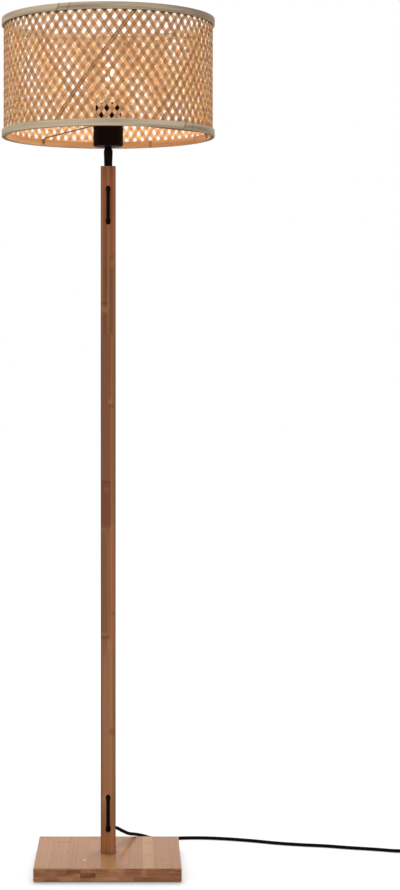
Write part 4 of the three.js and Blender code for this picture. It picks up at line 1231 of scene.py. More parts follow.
def settled(piece: Piece, body: Body, material: bpy.types.Material, slot: str, *nodes: str) -> Piece:
    """Dresses a finished piece, sets what it rides on and stands for, and reports it.

    Args:
        piece: the piece.
        body: the body that carries it.
        material: its finish.
        slot: the name of that finish's slot; not used.
        nodes: the CAD nodes that it stands for.

    Returns:
        The piece.
    """
    piece.data.materials.clear()
    piece.data.materials.append(material)
    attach(piece, body.value)
    if nodes:
        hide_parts(*nodes)
    log.info("%s: %d faces", piece.name, len(piece.data.polygons))
    return piece


def dressed_nodes(nodes: Sequence[str], material: bpy.types.Material) -> None:
    """Gives CAD nodes that stay in view a finish.

    Args:
        nodes: the nodes' names.
        material: their finish.
    """
    for node in nodes:
        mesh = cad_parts[node].data
        mesh.materials.clear()
        mesh.materials.append(material)
        log.info("%s: kept, %s", node, material.name)


@dataclass
class Studio:
    """Camera, lamps, world and floor."""

    lens: float = 86.12
    sensor: float = 36.0
    place: Point = (0.0438, -4.0, 0.925)
    shift: tuple[float, float] = (0.0769, -0.0798)
    sight: float = 100.0
    lamps: tuple[tuple[str, Point, Point, float, float], ...] = (  # name, place, aim, size and power
        ("overhead", (0.0, 1.3, 3.4), ORIGIN, 2.6, 112.0),
        ("key", (-1.6, -3.6, 2.9), (0.0, 0.0, 0.9), 2.2, 36.0),
        ("low_fill", (0.3, -1.6, 0.45), (0.0, 0.0, 0.3), 0.8, 5.0),
    )
    world_light: float = 0.67
    floor_reach: float = 30.0
    floor_fade: tuple[float, float] = (0.5, 4.0)  # from where to where the floor brightens, from the pole
    floor_glow: tuple[float, float] = (0.33, 0.74)  # how bright it is before and beyond that
    white: str = "#ffffff"
    floor_lit: str = "#959595"
    floor_seen: str = "#bcbcbc"

    def build(self) -> None:
        """Makes everything round the object."""
        self.add_camera()
        self.add_lamps()
        self.add_world()
        self.add_floor()

    def add_camera(self) -> None:
        """Sets the camera where the two rims and the square foot say that it stood."""
        camera = bpy.data.cameras.new("camera")
        camera.lens = self.lens
        camera.sensor_width = self.sensor
        camera.shift_x, camera.shift_y = self.shift
        camera.clip_end = self.sight
        eye = placed("camera", camera)
        eye.location = self.place
        eye.rotation_euler = (QUARTER_TURN, 0, 0)
        bpy.context.scene.camera = eye

    def add_lamps(self) -> None:
        """Adds a lamp high over the back, a key from the left and a low fill, all large and soft."""
        for name, place, aim, size, power in self.lamps:
            lamp = bpy.data.lights.new(name, "AREA")
            lamp.shape = "SQUARE"
            lamp.size = size
            lamp.energy = power
            stand = placed(name, lamp)
            stand.location = place
            stand.rotation_euler = (Vector(aim) - Vector(place)).to_track_quat("-Z", "Y").to_euler()

    def add_world(self) -> None:
        """White to the eye and in reflections, and a plain pale light on the object."""
        world = bpy.data.worlds.new("studio")
        bpy.context.scene.world = world
        world.use_nodes = True
        tree = world.node_tree
        tree.nodes.clear()
        level = add(tree, MIX, {0: self.seen(tree), 2: self.world_light, 3: 1.0})
        light = add(tree, "ShaderNodeBackground", {"Color": linear(self.white), "Strength": level})
        add(tree, "ShaderNodeOutputWorld", {"Surface": light})

    def seen(self, tree: Tree) -> Node:
        """Tells the rays that reach the eye from those that only light.

        Args:
            tree: the nodes of the world or a material.

        Returns:
            1 for rays from the camera, from gloss and through glass, else 0.
        """
        rays = add(tree, "ShaderNodeLightPath").outputs
        some = add(tree, MATH, (rays["Is Camera Ray"], rays["Is Glossy Ray"]), operation="MAXIMUM")
        return add(tree, MATH, (some, rays["Is Transmission Ray"]), operation="MAXIMUM")

    def add_floor(self) -> None:
        """Adds a floor that looks white from near to far and keeps the object's shadow."""
        far = self.floor_reach
        mesh = bpy.data.meshes.new("floor")
        mesh.from_pydata([(-far, -far, 0), (far, -far, 0), (far, far, 0), (-far, far, 0)], [], [(0, 1, 2, 3)])
        floor = placed("floor", mesh)
        material = bpy.data.materials.new("white_paper_sweep")
        material.use_nodes = True
        tree = material.node_tree
        tree.nodes.clear()
        plain = add(tree, "ShaderNodeBsdfDiffuse", {"Color": linear(self.floor_lit)})
        dim = add(tree, "ShaderNodeBsdfDiffuse", {"Color": linear(self.floor_seen)})
        place = add(tree, "ShaderNodeTexCoord").outputs["Object"]
        away = add(tree, VECTOR_MATH, (place,), operation="LENGTH").outputs["Value"]
        level = add(tree, MAP_RANGE, (away, *self.floor_fade, *self.floor_glow))
        bright = add(tree, "ShaderNodeEmission", {"Color": linear(self.white), "Strength": level})
        shown = add(tree, "ShaderNodeAddShader", (dim, bright))
        both = add(tree, "ShaderNodeMixShader", (self.seen(tree), plain, shown))
        add(tree, "ShaderNodeOutputMaterial", {"Surface": both})
        mesh.materials.append(material)


@dataclass
class Lead:
    """The lead from the pole's back to the plug, with its foot switch and the coil of its spare length."""

    radius: float = 0.00325
    exit: Point = (0.0, 0.0143, 0.06958)
    slope: Point = (0.0, 1.0, -1 / 14)
    route: tuple[Point, ...] = (
        (0.0015, 0.031, 0.0668), (0.0145, 0.052, 0.0614), (0.0266, 0.076, 0.0504), (0.0384, 0.106, 0.0389),
        (0.0492, 0.135, 0.0314), (0.0626, 0.163, 0.0232), (0.085, 0.192, 0.0112), (0.112, 0.215, 0.0042),
        (0.144, 0.2285, 0.0034), (0.1915, 0.229, 0.0034), (0.2386, 0.219, 0.0034), (0.285, 0.2025, 0.0034),
        (0.331, 0.182, 0.0034), (0.377, 0.168, 0.0034), (0.423, 0.1575, 0.0034), (0.468, 0.142, 0.0034),
        (0.5135, 0.129, 0.0034), (0.558, 0.113, 0.0038), (0.583, 0.1039, 0.0066),
    )
    link: tuple[Point, ...] = (
        (0.7445, 0.0442, 0.0084), (0.755, 0.032, 0.0068), (0.7605, 0.015, 0.0052), (0.7604, -0.003, 0.0047))
    tail: tuple[Point, ...] = ((0.7578, -0.062, 0.0112),)
    switch: Point = (0.669, 0.0726, 0.00915)
    switch_turn: float = math.radians(-20)
    switch_reach: float = 0.0728
    spring_wire: float = 0.0004
    spring_turns: int = 4
    spring_steps: int = 24  # on each turn
    button_travel: float = 0.0025
    relief_from: float = 0.0377  # along the lead from the switch's middle
    relief_to: float = 0.0663
    relief_bore: float = 0.0035
    relief_flange: tuple[tuple[float, float], ...] = (
        (0.0062, 0.0), (0.0062, 0.002), (0.0052, 0.002), (0.0052, 0.0046))
    relief_end: float = 0.0043
    relief_round: float = 0.0002
    rib_radius: float = 0.0066
    rib_taper: float = 0.0021  # how much the ribs lose on the way
    rib_depth: float = 0.0009
    rib_share: float = 0.68  # of the step from rib to rib
    ribs: int = 6
    coil: tuple[float, float] = (0.715, -0.035)
    coil_radius: float = 0.043
    coil_pitch: float = 0.00715
    coil_floor: float = 0.00465
    coil_entry: float = math.radians(10)
    coil_turns: int = 4
    coil_steps: int = 48
    plug_end: Point = (0.757, -0.1157, 0.0069)
    plug_start: Point = (0.757, -0.08275, 0.0069)

    def in_switch(self, along: float) -> Vector:
        """A place on the lead's line through the switch."""
        heading = Vector((math.cos(self.switch_turn), math.sin(self.switch_turn), 0))
        return Vector(self.switch) + along * heading

    def coil_path(self) -> list[Vector]:
        """Winds the coil: in on the lower layer, up where the spiral turns back, and out on the upper one.

        Returns:
            The points of its centreline.
        """
        sweep = self.coil_turns * FULL_TURN + self.coil_entry
        rate = self.coil_pitch / FULL_TURN
        inner = self.coil_radius - rate * sweep / 2
        steps = round(self.coil_steps * sweep / FULL_TURN)
        made = []
        for step in range(steps + 1):
            travelled = sweep * step / steps
            past = travelled - sweep / 2
            share = min(max((past + QUARTER_TURN) / math.pi, 0.0), 1.0)
            climb = share * share * (3 - 2 * share)
            radius = inner + rate * abs(past)
            angle = self.coil_entry - travelled
            made.append(Vector((
                self.coil[0] + radius * math.cos(angle),
                self.coil[1] + radius * math.sin(angle),
                self.coil_floor + self.coil_pitch * climb,
            )))
        return made

    def path(self) -> list[Vector]:
        """Joins the lead's stretches.

        Returns:
            The whole centreline, from the pole to inside the plug.
        """
        run = 2 * self.radius
        start = Vector(self.exit)
        free = start + Vector(self.slope).normalized() * run
        coil = self.coil_path()
        before = coil[0] + (coil[0] - coil[1]).normalized() * 2 * run
        after = coil[-1] + (coil[-1] - coil[-2]).normalized() * 2 * run
        first = smooth_route([free, *self.route, self.in_switch(-self.switch_reach)])
        second = smooth_route([self.in_switch(self.switch_reach), *self.link, before])
        third = smooth_route([after, *self.tail, self.plug_start])
        return [start, *first, *second, *coil, *third, Vector(self.plug_end)]

    def build(self) -> None:
        """Makes the cord and what is on it."""
        path = self.path()
        cord = swept("lead_cord", path, self.radius)
        settled(cord, Body.LAMP, BRAID.material(), "cord_jacket",
                "lead_to_switch", "lead_to_coil", "lead_coil", "lead_to_plug")
        moulding, soft, brass = MOULDING.material(), SOFT_MOULDING.material(), BRASS.material()
        tie = softened(refined("coil_tie", "coil_tie_strap"), 0.0003)
        on_cord = [settled(tie, Body.LAMP, FELT.material(), "felt", "coil_tie")]
        for node, material, body, edge in (
            ("switch_base", moulding, Body.LAMP, 0.0004),
            ("switch_cover", moulding, Body.LAMP, 0.0004),
            ("switch_button", moulding, Body.BUTTON, 0.0005),
            ("plug_body", soft, Body.LAMP, 0.0005),
        ):
            shell = softened(refined(node, f"{node}_shell"), edge)
            on_cord.append(settled(shell, body, material, "black_plastic", node))
        for node, side in (("switch_relief_in", -1), ("switch_relief_out", 1)):
            on_cord.append(self.build_relief(node, side, soft))
        for node in ("plug_pin_1", "plug_pin_2"):
            on_cord.append(settled(refined(node, f"{node}_turned"), Body.LAMP, brass, "brass", node))
        dressed_nodes(["switch_block"], GREY_MOULDING.material())
        on_cord += [self.build_spring(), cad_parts["switch_block"]]
        log.info("the lead is %.3f m long", length_of(path))

    def build_spring(self) -> Piece:
        """Winds the coil spring under the button, which shortens by the button's travel.

        Returns:
            The spring.
        """
        low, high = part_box("switch_spring")
        middle, wire = (low + high) / 2, self.spring_wire
        radius, tall = (high.x - low.x) / 2 - wire, high.z - low.z - 2 * wire
        steps = self.spring_turns * self.spring_steps
        spring = swept("switch_spring_coil", [
            Vector((
                middle.x + radius * math.cos(FULL_TURN * self.spring_turns * i / steps),
                middle.y + radius * math.sin(FULL_TURN * self.spring_turns * i / steps),
                low.z + wire + tall * i / steps,
            ))
            for i in range(steps + 1)
        ], wire, 10)
        settled(spring, Body.LAMP, ZINC.material(), "steel", "switch_spring")
        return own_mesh(spring)

    def build_relief(self, node: str, side: int, material: bpy.types.Material) -> Piece:
        """Makes a tapered strain relief with grooves that let it bend.

        Args:
            node: the CAD node that it stands for.
            side: -1 towards the pole and 1 towards the plug.
            material: its finish.

        Returns:
            The relief.
        """
        length = self.relief_to - self.relief_from
        first = self.relief_flange[-1][1]
        run = length - first
        profile = [(self.relief_bore, 0.0), *self.relief_flange]
        for rib in range(self.ribs):
            foot = first + run * rib / self.ribs
            head = first + run * (rib + self.rib_share) / self.ribs
            wide = self.rib_radius - self.rib_taper * rib / self.ribs
            groove, top = wide - self.rib_depth, first + run * (rib + 1) / self.ribs
            profile += [(wide, foot), (wide, head), (groove, head), (groove, top)]
        profile += [(self.relief_end, length), (self.relief_bore, length)]
        relief = lathed(node + "_boot", rounded(profile, [self.relief_round] * len(profile), 2), 32, 0.0)
        turn = Matrix.Rotation(self.switch_turn, 4, "Z") @ Matrix.Rotation(side * QUARTER_TURN, 4, "Y")
        relief.data.transform(Matrix.Translation(self.in_switch(side * self.relief_from)) @ turn)
        return settled(relief, Body.LAMP, material, "black_plastic", node)


@dataclass
class Foot:
    """The square board with its pads and bolts."""

    edge: float = 0.0022

    def build(self) -> None:
        """Makes the board and dresses what is under it."""
        board = softened(refined("foot_board", "foot_lamellae"), self.edge, 4)
        settled(board, Body.LAMP, FOOT_BAMBOO.material(), "foot_bamboo", "foot_board")
        dressed_nodes([f"foot_pad_{i}" for i in (1, 2, 3, 4)], FELT.material())
        dressed_nodes(["foot_bolt_1", "foot_bolt_2", "foot_washer_1", "foot_washer_2"], ZINC.material())
        dressed_nodes(["pole_insert_1", "pole_insert_2"], BRASS.material())


@dataclass
class Pole:
    """The laminated pole and the cable that is stitched through it."""

    foot: float = 0.0276
    length: float = 1.287
    half: float = 0.014
    edge: float = 0.0004
    gap: float = 0.0003
    hole_from_end: float = 0.044
    stitch: float = 0.059
    cable_radius: float = 0.00325
    bend: float = 0.012
    entry_bend: float = 0.008
    exit_drop: float = 0.002
    cable_top: float = 1.369

    def build(self) -> None:
        """Makes the pole and its cable."""
        pole = softened(refined("pole", "pole_lamellae"), self.edge)
        settled(pole, Body.LAMP, POLE_BAMBOO.material(), "pole_bamboo", "pole")
        cable = swept("stitched_cable", self.cable_path(), self.cable_radius)
        settled(cable, Body.LAMP, BRAID.material(), "cord_jacket", "pole_cable")

    def cable_path(self) -> list[Vector]:
        """Leads the cable down the channel, out and in again near each end, and out at the back.

        Returns:
            The points of its centreline.
        """
        proud = self.half + self.gap + self.cable_radius
        upper = self.foot + self.length - self.hole_from_end
        lower = self.foot + self.hole_from_end
        slope = self.exit_drop / (2 * self.half)
        second, third = upper - self.stitch, lower + self.stitch
        back = self.half + self.gap
        corners = [
            Vector((0, 0, self.cable_top)),
            Vector((0, 0, upper + self.half)),
            Vector((0, -proud, upper + self.half - proud)),
            Vector((0, -proud, second + proud - self.half)),
            Vector((0, 0, second - self.half)),
            Vector((0, 0, third + self.half)),
            Vector((0, -proud, third + self.half - proud)),
            Vector((0, -proud, lower + slope * (proud - self.half))),
            Vector((0, back, lower - slope * (back + self.half))),
        ]
        return bent_route(corners, [self.bend] * 6 + [self.entry_bend])


@dataclass
class Holder:
    """The neck, the black cup and the lampholder in it, with the ring that clamps the shade."""

    bore: float = 0.0053
    sleeve_side: tuple[tuple[float, float], ...] = (
        (0.0076, 0), (0.0085, 0.0295), (0.0066, 0.034), (0.0064, 0.037))
    sleeve_rounds: tuple[float, ...] = (0, 0.0006, 0.0022, 0.0012, 0.0004, 0)
    cup_wall: float = 0.0012
    cup_rounds: tuple[float, ...] = (0, 0.003, 0.0005, 0.0005, 0.0022, 0)
    ring_bore: float = 0.02
    ring_skirt: float = 0.0231
    ring_flange: float = 0.004
    ring_rounds: tuple[float, ...] = (0, 0.0008, 0.0012, 0.0008, 0.0012, 0.0006)
    ribs: int = 28
    rib_half: float = 0.0011  # half a grip rib's width, and how far it stands out
    rib_shape: tuple[Point, ...] = (  # height, width and depth, as shares of the rib's own
        (0.0, 0.55, 0.3), (0.04, 1.0, 1.0), (0.5, 1.0, 1.0), (0.96, 1.0, 1.0), (1.0, 0.55, 0.3))
    rib_root: float = 0.0003
    rib_foot: float = 0.001  # how far above the flange the ribs begin
    rib_head: float = 0.002  # how far below the skirt's top they end

    def build(self) -> None:
        """Makes the neck, the cup and the ring, and dresses what is inside."""
        enamel, phenolic = ENAMEL.material(), PHENOLIC.material()
        brass, zinc = BRASS.material(), ZINC.material()
        self.build_sleeve(enamel)
        self.build_cup(enamel)
        self.build_ring(phenolic)
        self.build_grip(phenolic)
        for node in ("holder_cap", "holder_body"):
            settled(refined(node, f"{node}_moulding"), Body.LAMP, phenolic, "black_plastic", node)
        dressed_nodes(["neck_tube", "cup_nut"], zinc)
        dressed_nodes(["pole_top_insert", "holder_thread_shell", "holder_contact"], brass)

    def build_sleeve(self, material: bpy.types.Material) -> None:
        """Turns the tapered sleeve under the cup, with a waist at its top.

        Args:
            material: its finish.
        """
        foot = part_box("neck_sleeve")[0].z
        corners = [(self.bore, 0), *self.sleeve_side, (self.bore, self.sleeve_side[-1][1])]
        sleeve = lathed("neck_sleeve_turned", rounded(corners, self.sleeve_rounds), 64, foot)
        settled(sleeve, Body.LAMP, material, "black_lacquer", "neck_sleeve")

    def build_cup(self, material: bpy.types.Material) -> None:
        """Makes the pressed cup, with a rounded lower edge and a rolled lip.

        Args:
            material: its finish.
        """
        low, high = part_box("holder_cup")
        radius, height = high.x, high.z - low.z
        inside = radius - self.cup_wall
        corners = [(self.bore, 0), (radius, 0), (radius, height), (inside, height), (inside, self.cup_wall),
                   (self.bore, self.cup_wall)]
        cup = lathed("holder_cup_pressed", rounded(corners, self.cup_rounds, 6), 128, low.z)
        settled(cup, Body.LAMP, material, "black_lacquer", "holder_cup")

    def build_ring(self, material: bpy.types.Material) -> None:
        """Makes the clamp ring, a flange and a skirt.

        Args:
            material: its finish.
        """
        low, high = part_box("shade_ring")
        bore, skirt, top, height = self.ring_bore, self.ring_skirt, self.ring_flange, high.z - low.z
        corners = [(bore, 0), (high.x, 0), (high.x, top), (skirt, top), (skirt, height), (bore, height)]
        ring = lathed("shade_ring_moulding", rounded(corners, self.ring_rounds), 128, low.z)
        settled(ring, Body.LAMP, material, "black_plastic", "shade_ring")

    def build_grip(self, material: bpy.types.Material) -> None:
        """Makes the grip ribs round the clamp ring.

        Args:
            material: their finish.
        """
        low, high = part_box("shade_ring")
        foot = low.z + self.ring_flange + self.rib_foot
        tall = high.z - low.z - self.ring_flange - self.rib_foot - self.rib_head
        root = self.ring_skirt - self.rib_root
        rings = []
        for share, width, depth in self.rib_shape:
            half, out, z = self.rib_half * width, self.rib_half * depth, foot + tall * share
            side, crown = self.ring_skirt + 0.6 * out, self.ring_skirt + out
            rings.append([(root, half, z), (root, -half, z), (side, -0.8 * half, z), (crown, -0.3 * half, z),
                          (crown, 0.3 * half, z), (side, 0.8 * half, z)])
        rib = skinned("shade_ring_grip", rings, sharp=math.radians(60))
        grown(rib, repeated_round(material), {"Count": self.ribs})
        settled(rib, Body.LAMP, material, "black_plastic")


@dataclass(frozen=True)
class Drift:
    """How far the strips of one lean have crept at the drum's back, in steps between strips: in the middle,
    and how much more at the right."""

    share: float
    tilt: float


@dataclass
class Shade:
    """The drum: two pairs of hoops, the strips woven between them, and the wire carrier."""

    strips: int = 68
    strip_width: float = 0.0073
    strip_thick: float = 0.0007
    wall_thick: float = 0.0022
    swing: float = 0.00062
    lean: dict[Lean, float] = field(default_factory=lambda: {
        Lean.RIGHT: math.radians(53.4), Lean.LEFT: math.radians(55.6)})
    first_row: float = 0.0061
    start: float = 0.44  # where the first strip stands, as a share of the step between strips
    stray: float = 0.06  # how far a strip stands from its even place, as a share of that step
    drift: dict[Lean, Drift] = field(default_factory=lambda: {
        Lean.RIGHT: Drift(-0.313, 0.86), Lean.LEFT: Drift(0.137, 1.779)})
    dark_strips: dict[Lean, tuple[int, int]] = field(  # the two of each lean that keep their skin
        default_factory=lambda: {Lean.RIGHT: (45, 55), Lean.LEFT: (-1, 57)})
    seed: int = 3
    steps_each_row: int = 6
    hoop_height: float = 0.013
    hoop_thick: float = 0.0028
    hoop_rounds: tuple[float, ...] = (0.0006, 0.0009, 0.0009, 0.0006)
    hoop_steps: int = 180
    seam: float = 0.0004
    seam_slant: float = 0.5
    outer_seams: tuple[float, float] = (math.radians(244), math.radians(315))
    inner_seams: tuple[float, float] = (math.radians(96), math.radians(30))
    arm_start: float = math.radians(12)
    arms: int = 3
    arm_bend: float = 0.007
    wire: float = 0.00125
    carrier_bore: float = 0.02
    carrier_width: float = 0.005
    carrier_thick: float = 0.002
    carrier_gap: float = 0.0003
    tab_drop: float = 0.009
    tab_thick: float = 0.0014
    tab_gap: float = 0.0008
    plate_half: float = 0.003  # half the width of a tab and of the clip
    plate_round: float = 0.0004
    clip_at: float = math.radians(65)
    clip_reach: tuple[float, float] = (0.0012, 0.0001)  # from the hoop's inner face inwards
    clip_over: float = 0.0006
    foot: float = field(init=False)
    height: float = field(init=False)

    def __post_init__(self) -> None:
        """Takes the drum's place from the frame."""
        self.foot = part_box("bottom_outer_hoop")[0].z
        self.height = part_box("top_outer_hoop")[1].z - self.foot

    def build(self) -> None:
        """Makes the shade."""
        self.build_hoops()
        self.build_weave()
        self.build_carrier()
        self.build_clip()

    def build_hoops(self) -> None:
        """Makes the two outer hoops and the two inner ones."""
        skin, bulb_lit_hoop = HOOP_BAMBOO.material(), BULB_LIT_HOOP_BAMBOO.material()
        top = self.height - self.hoop_height
        for node, lift, seam, material in (
            ("bottom_outer_hoop", 0.0, self.outer_seams[1], skin),
            ("top_outer_hoop", top, self.outer_seams[0], skin),
            # the lower inner hoop takes the copy with the bulb's light painted into its colour
            ("bottom_inner_hoop", 0.0, self.inner_seams[1], bulb_lit_hoop),
            ("top_inner_hoop", top, self.inner_seams[0], skin),
        ):
            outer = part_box(node)[1].x
            hoop = self.bent_hoop(node + "_strip", outer, self.foot + lift, seam)
            settled(hoop, Body.LAMP, material, "hoop_bamboo", node)

    def bent_hoop(self, name: str, outer: float, foot: float, seam: float) -> Piece:
        """Bends a strip round until its slanted ends meet.

        Args:
            name: the piece's name.
            outer: its outer radius.
            foot: the height of its lower edge.
            seam: the angle at which its ends meet.

        Returns:
            The hoop, with its fibres along it.
        """
        inner = outer - self.hoop_thick
        tall, steps = self.hoop_height, self.hoop_steps
        section = rounded([(inner, 0.0), (outer, 0.0), (outer, tall), (inner, tall)], self.hoop_rounds, 3)
        rings = []
        for step in range(steps + 1):
            share = step / steps
            near_end = 1.0 if share < 0.5 else -1.0
            fade = max(0.0, 1 - 10 * min(share, 1 - share))  # the slant is gone a tenth of the way round
            gap = near_end * self.seam / 2 if step in (0, steps) else 0.0
            ring = []
            for radius, z in section:
                slant = self.seam_slant * (z / tall - 0.5) * tall
                angle = seam + FULL_TURN * share + (slant * fade + gap) / outer
                ring.append((radius * math.cos(angle), radius * math.sin(angle), foot + z))
            rings.append(ring)
        return skinned(name, [list(reversed(ring)) for ring in rings][::-1], sharp=SHARP_ROD)

    def build_weave(self) -> None:
        """Weaves the strips that lean each way over and under each other."""
        material = STRIP_BAMBOO.material()
        tree = woven_strips(material)
        low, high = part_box("shade_weave")
        bottom, top = low.z - self.foot, high.z - self.foot
        radius = (high.x + (high.x - self.wall_thick)) / 2
        row = FULL_TURN * radius / self.strips / sum(1 / math.tan(angle) for angle in self.lean.values())
        right, left = self.drift[Lean.RIGHT], self.drift[Lean.LEFT]
        for lean, angle in self.lean.items():
            strip = self.straight_strip(f"strips_leaning_{lean.name.lower()}", bottom, top, row)
            grown(strip, tree, {
                "Strips": self.strips,
                "Radius": radius,
                "Foot": self.foot,
                "Lean": angle,
                "Side": float(lean.value),
                "First row": self.first_row,
                "Row step": row,
                "Swing": self.swing,
                "Start": self.start,
                "Stray": self.stray,
                "Drift": self.drift[lean].share,
                "Tilt": self.drift[lean].tilt,
                "Row drift": right.share - left.share,
                "Row tilt": right.tilt - left.tilt,
                "Dark strip": self.dark_strips[lean][0],
                "Faint strip": self.dark_strips[lean][1],
                "Seed": self.seed + lean.value,
            })
            strip.data.shade_smooth()
            strip.data.set_sharp_from_angle(angle=SHARP_ROD)
            settled(strip, Body.LAMP, material, "strip_bamboo", "shade_weave")

    def straight_strip(self, name: str, bottom: float, top: float, row: float) -> Piece:
        """Makes one flat strip, with its height along Y.

        Args:
            name: the piece's name.
            bottom: where it begins.
            top: where it ends.
            row: the step from row to row of crossings.

        Returns:
            The strip, with its own X and Y as its map.
        """
        wide, thick = self.strip_width / 2, self.strip_thick / 2
        steps = math.ceil((top - bottom) / row * self.steps_each_row)
        rings = []
        for step in range(steps + 1):
            y = bottom + (top - bottom) * step / steps
            rings.append([(-wide, y, -thick), (-wide, y, thick), (wide, y, thick), (wide, y, -thick)])
        strip = skinned(name, rings)
        layer = strip.data.uv_layers["UVMap"]
        for loop in strip.data.loops:
            place = strip.data.vertices[loop.vertex_index].co
            layer.data[loop.index].uv = (place.x, place.y)
        return strip

    def build_carrier(self) -> None:
        """Makes the wire carrier: a ring under the clamp ring, and three arms with tabs on the inner hoop."""
        material, brass = WIRE.material(), TAB_BRASS.material()
        bore, rim, thick = self.carrier_bore, self.carrier_bore + self.carrier_width, self.carrier_thick
        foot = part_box("shade_ring")[0].z - self.carrier_gap - thick
        section = rounded([(bore, 0), (rim, 0), (rim, thick), (bore, thick)], [self.plate_round] * 4, 2)
        ring = lathed("carrier_ring", section, 96, foot)
        settled(ring, Body.LAMP, material, "carrier_wire", "shade_carrier")
        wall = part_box("bottom_inner_hoop")[1].x - self.hoop_thick - self.tab_gap
        tab_top = self.foot + self.hoop_height
        out = wall - self.tab_thick / 2
        path = bent_route([
            Vector(((bore + rim) / 2, 0, foot + thick / 2)),
            Vector((out, 0, tab_top + self.wire)),
            Vector((out, 0, tab_top - self.tab_drop)),
        ], [self.arm_bend])
        arm = turned(swept("carrier_arms", path, self.wire, 12), self.arm_start)
        grown(arm, repeated_round(material), {"Count": self.arms})
        arm.data.shade_smooth()
        settled(arm, Body.LAMP, material, "carrier_wire")
        tab = self.build_plate("carrier_tabs", wall - self.tab_thick, wall, tab_top - self.tab_drop, tab_top)
        grown(turned(tab, self.arm_start), repeated_round(brass), {"Count": self.arms})
        settled(tab, Body.LAMP, brass, "brass")

    def build_plate(self, name: str, inner: float, outer: float, low: float, high: float) -> Piece:
        """Makes a small upright plate with rounded edges, which faces the lamp's axis from +X.

        Args:
            name: the piece's name.
            inner: where its inner face stands.
            outer: where its outer face stands.
            low: its lower end.
            high: its upper end.

        Returns:
            The plate.
        """
        work = bmesh.new()
        bmesh.ops.create_cube(work, size=1.0)
        mesh = bpy.data.meshes.new(name)
        work.to_mesh(mesh)
        work.free()
        size = (outer - inner, 2 * self.plate_half, high - low)
        middle = Vector(((outer + inner) / 2, 0, (high + low) / 2))
        mesh.transform(Matrix.Translation(middle) @ Matrix.Diagonal((*size, 1.0)))
        return softened(placed(name, mesh), self.plate_round, 3)

    def build_clip(self) -> None:
        """Makes the small metal clip that holds the ends of the lower inner hoop."""
        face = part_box("bottom_inner_hoop")[1].x - self.hoop_thick
        inner, outer = (face - reach for reach in self.clip_reach)
        head = self.foot + self.hoop_height + self.clip_over
        clip = self.build_plate("hoop_clip", inner, outer, self.foot - self.clip_over, head)
        settled(turned(clip, self.clip_at), Body.LAMP, TAB_BRASS.material(), "brass")


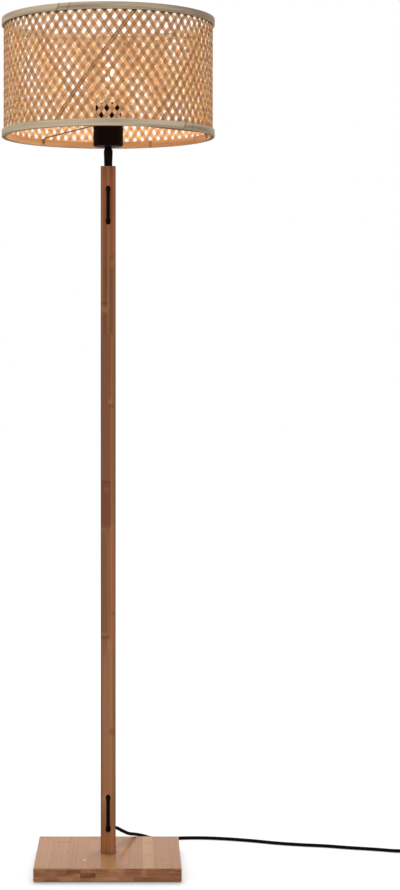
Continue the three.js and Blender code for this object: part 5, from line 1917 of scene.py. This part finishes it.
@dataclass
class Bulb:
    """The lit bulb: screw cap, glass, stem and four filaments."""

    cap_radius: float = 0.0131
    thread_from: float = 0.0052
    thread_to: float = 0.0262
    thread_pitch: float = 0.0036
    thread_depth: float = 0.0006
    thread_sides: int = 64
    thread_steps: int = 66
    thread_run_out: int = 5  # steps in which the thread fades at each end
    insulator: tuple[tuple[float, float], ...] = (
        (0.0, 0.0021), (0.0047, 0.0021), (0.0062, 0.0030), (0.0126, 0.0048), (0.0126, 0.0053), (0.0, 0.0053))
    contact: tuple[tuple[float, float], ...] = (
        (0.0, 0.0), (0.0034, 0.0001), (0.0047, 0.0009), (0.0047, 0.0022), (0.0, 0.0022))
    # The glass's side: how far out it is from its neck to its widest place, and how far up its height.
    glass_side: tuple[tuple[float, float], ...] = (
        (0, 0), (0.01, 0.1), (0.24, 0.25), (0.68, 0.44), (1, 0.67), (0.9, 0.83), (0.52, 0.95))
    glass_neck: float = 0.0123
    glass_wall: float = 0.001
    glass_inset: float = 0.0001
    filament_radius: float = 0.0012
    filament_foot: float = 0.0035
    filament_head: float = 0.0078
    wire_radius: float = 0.0004
    mast_radius: float = 0.0005
    power: float = 1.7
    light_colour: str = "#fff7d6"
    light_radius: float = 0.012
    foot: float = field(init=False)

    def __post_init__(self) -> None:
        """Takes the cap's place from the frame."""
        self.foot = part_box("bulb_cap")[0].z

    def build(self) -> None:
        """Makes the bulb and its light."""
        glass = BULB_GLASS.material()
        self.build_cap()
        self.build_glass(glass)
        self.build_filaments()
        settled(refined("bulb_stem", "bulb_stem_drawn"), Body.BULB, glass, "bulb_glass", "bulb_stem")
        self.add_light()

    def build_cap(self) -> None:
        """Makes the screw cap with its rolled thread, and the black glass round its contact."""
        rings = []
        sides, steps = self.thread_sides, self.thread_steps
        for step in range(steps + 1):
            z = self.thread_from + (self.thread_to - self.thread_from) * step / steps
            fade = min(1.0, min(step, steps - step) / self.thread_run_out)
            ring = []
            for j in range(sides):
                angle = FULL_TURN * j / sides
                wave = 0.5 + 0.5 * math.sin(FULL_TURN * z / self.thread_pitch - angle)
                radius = self.cap_radius - self.thread_depth * fade * (1 - wave)
                ring.append((radius * math.cos(angle), radius * math.sin(angle), self.foot + z))
            rings.append(ring)
        metal = CAP_METAL.material()
        cap = skinned("bulb_cap_thread", rings, sharp=math.radians(80))
        settled(cap, Body.BULB, metal, "cap_brass", "bulb_cap")
        cone = lathed("bulb_cap_insulator", self.insulator, 64, self.foot, closed=False)
        settled(cone, Body.BULB, BLACK_GLASS.material(), "black_plastic")
        tip = lathed("bulb_cap_contact", self.contact, 48, self.foot, closed=False)
        settled(tip, Body.BULB, metal, "cap_brass")

    def glass_outline(self, neck: float, widest: float, height: float) -> Profile:
        """Draws one side of the glass, from its neck to its crown.

        Args:
            neck: its radius at the neck.
            widest: its radius at the widest place.
            height: the height of its crown.

        Returns:
            Radius and height of each point.
        """
        knots = [(neck + out * (widest - neck), up * height, 0) for out, up in self.glass_side]
        side = [(p.x, p.y) for p in smooth_route([*knots, (0, height, 0)], 7)]
        return [*side[:-1], (0.0, height)]

    def build_glass(self, material: bpy.types.Material) -> None:
        """Blows the envelope, open at its neck.

        Args:
            material: its finish.
        """
        low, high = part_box("bulb_glass")
        height, widest = high.z - low.z, high.x - self.glass_inset
        neck, wall = self.glass_neck, self.glass_wall
        outer = self.glass_outline(neck, widest, height)
        inner = self.glass_outline(neck - wall, widest - wall, height - wall)
        profile = [*reversed(inner), *outer]
        glass = lathed("bulb_glass_blown", profile, 72, low.z, closed=False, sharp=math.radians(60))
        settled(glass, Body.BULB, material, "bulb_glass", "bulb_glass")

    def build_filaments(self) -> None:
        """Makes four leaning filaments and the wires that hold them."""
        low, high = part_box("bulb_filaments")
        glow, zinc = FILAMENT.material(), ZINC.material()
        foot, head = low.z + 0.0006, high.z - 0.0009
        start = Vector((self.filament_foot, self.filament_foot, foot + 0.002))
        end = Vector((self.filament_head, self.filament_head, head - 0.0005))
        crown = Vector((0, 0, head + 0.0002))
        rod = swept("filament_rods", [start, start.lerp(end, 0.03), start.lerp(end, 0.97), end],
                    self.filament_radius, 12)
        grown(rod, repeated_round(glow), {"Count": 4})
        rod.data.shade_smooth()
        settled(rod, Body.BULB, glow, "filament", "bulb_filaments")
        below = [Vector((0, 0, foot - 0.0004)), Vector((start.x, start.y, foot + 0.0002)), start]
        above = [end, end + Vector((0, 0, 0.0008)), crown]
        for name, corners, bend in (("filament_wires", below, 0.001), ("filament_heads", above, 0.0005)):
            wires = swept(name, bent_route(corners, [bend]), self.wire_radius, 8)
            grown(wires, repeated_round(zinc), {"Count": 4})
            settled(wires, Body.BULB, zinc, "steel")
        mast = swept("filament_mast", [Vector((0, 0, foot - 0.001)), crown], self.mast_radius, 8)
        settled(mast, Body.BULB, zinc, "steel")

    def add_light(self) -> None:
        """Adds the warm light of the filaments, which is all that the shade's inside gets of its own."""
        low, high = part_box("bulb_filaments")
        lamp = bpy.data.lights.new("bulb_light", "POINT")
        lamp.energy = self.power
        lamp.color = linear(self.light_colour)[:3]
        lamp.shadow_soft_size = self.light_radius
        stand = placed("bulb_light", lamp)
        stand.location = (low + high) / 2
        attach(stand, Body.BULB.value)


def main() -> None:
    """Builds the scene."""
    logging.basicConfig(level=logging.INFO, format="%(name)s: %(message)s")
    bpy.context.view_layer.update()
    bpy.context.scene.view_settings.view_transform = "Standard"
    Studio().build()
    for part in (Lead(), Foot(), Pole(), Holder(), Shade(), Bulb()):
        part.build()


if __name__ == "__main__":
    main()
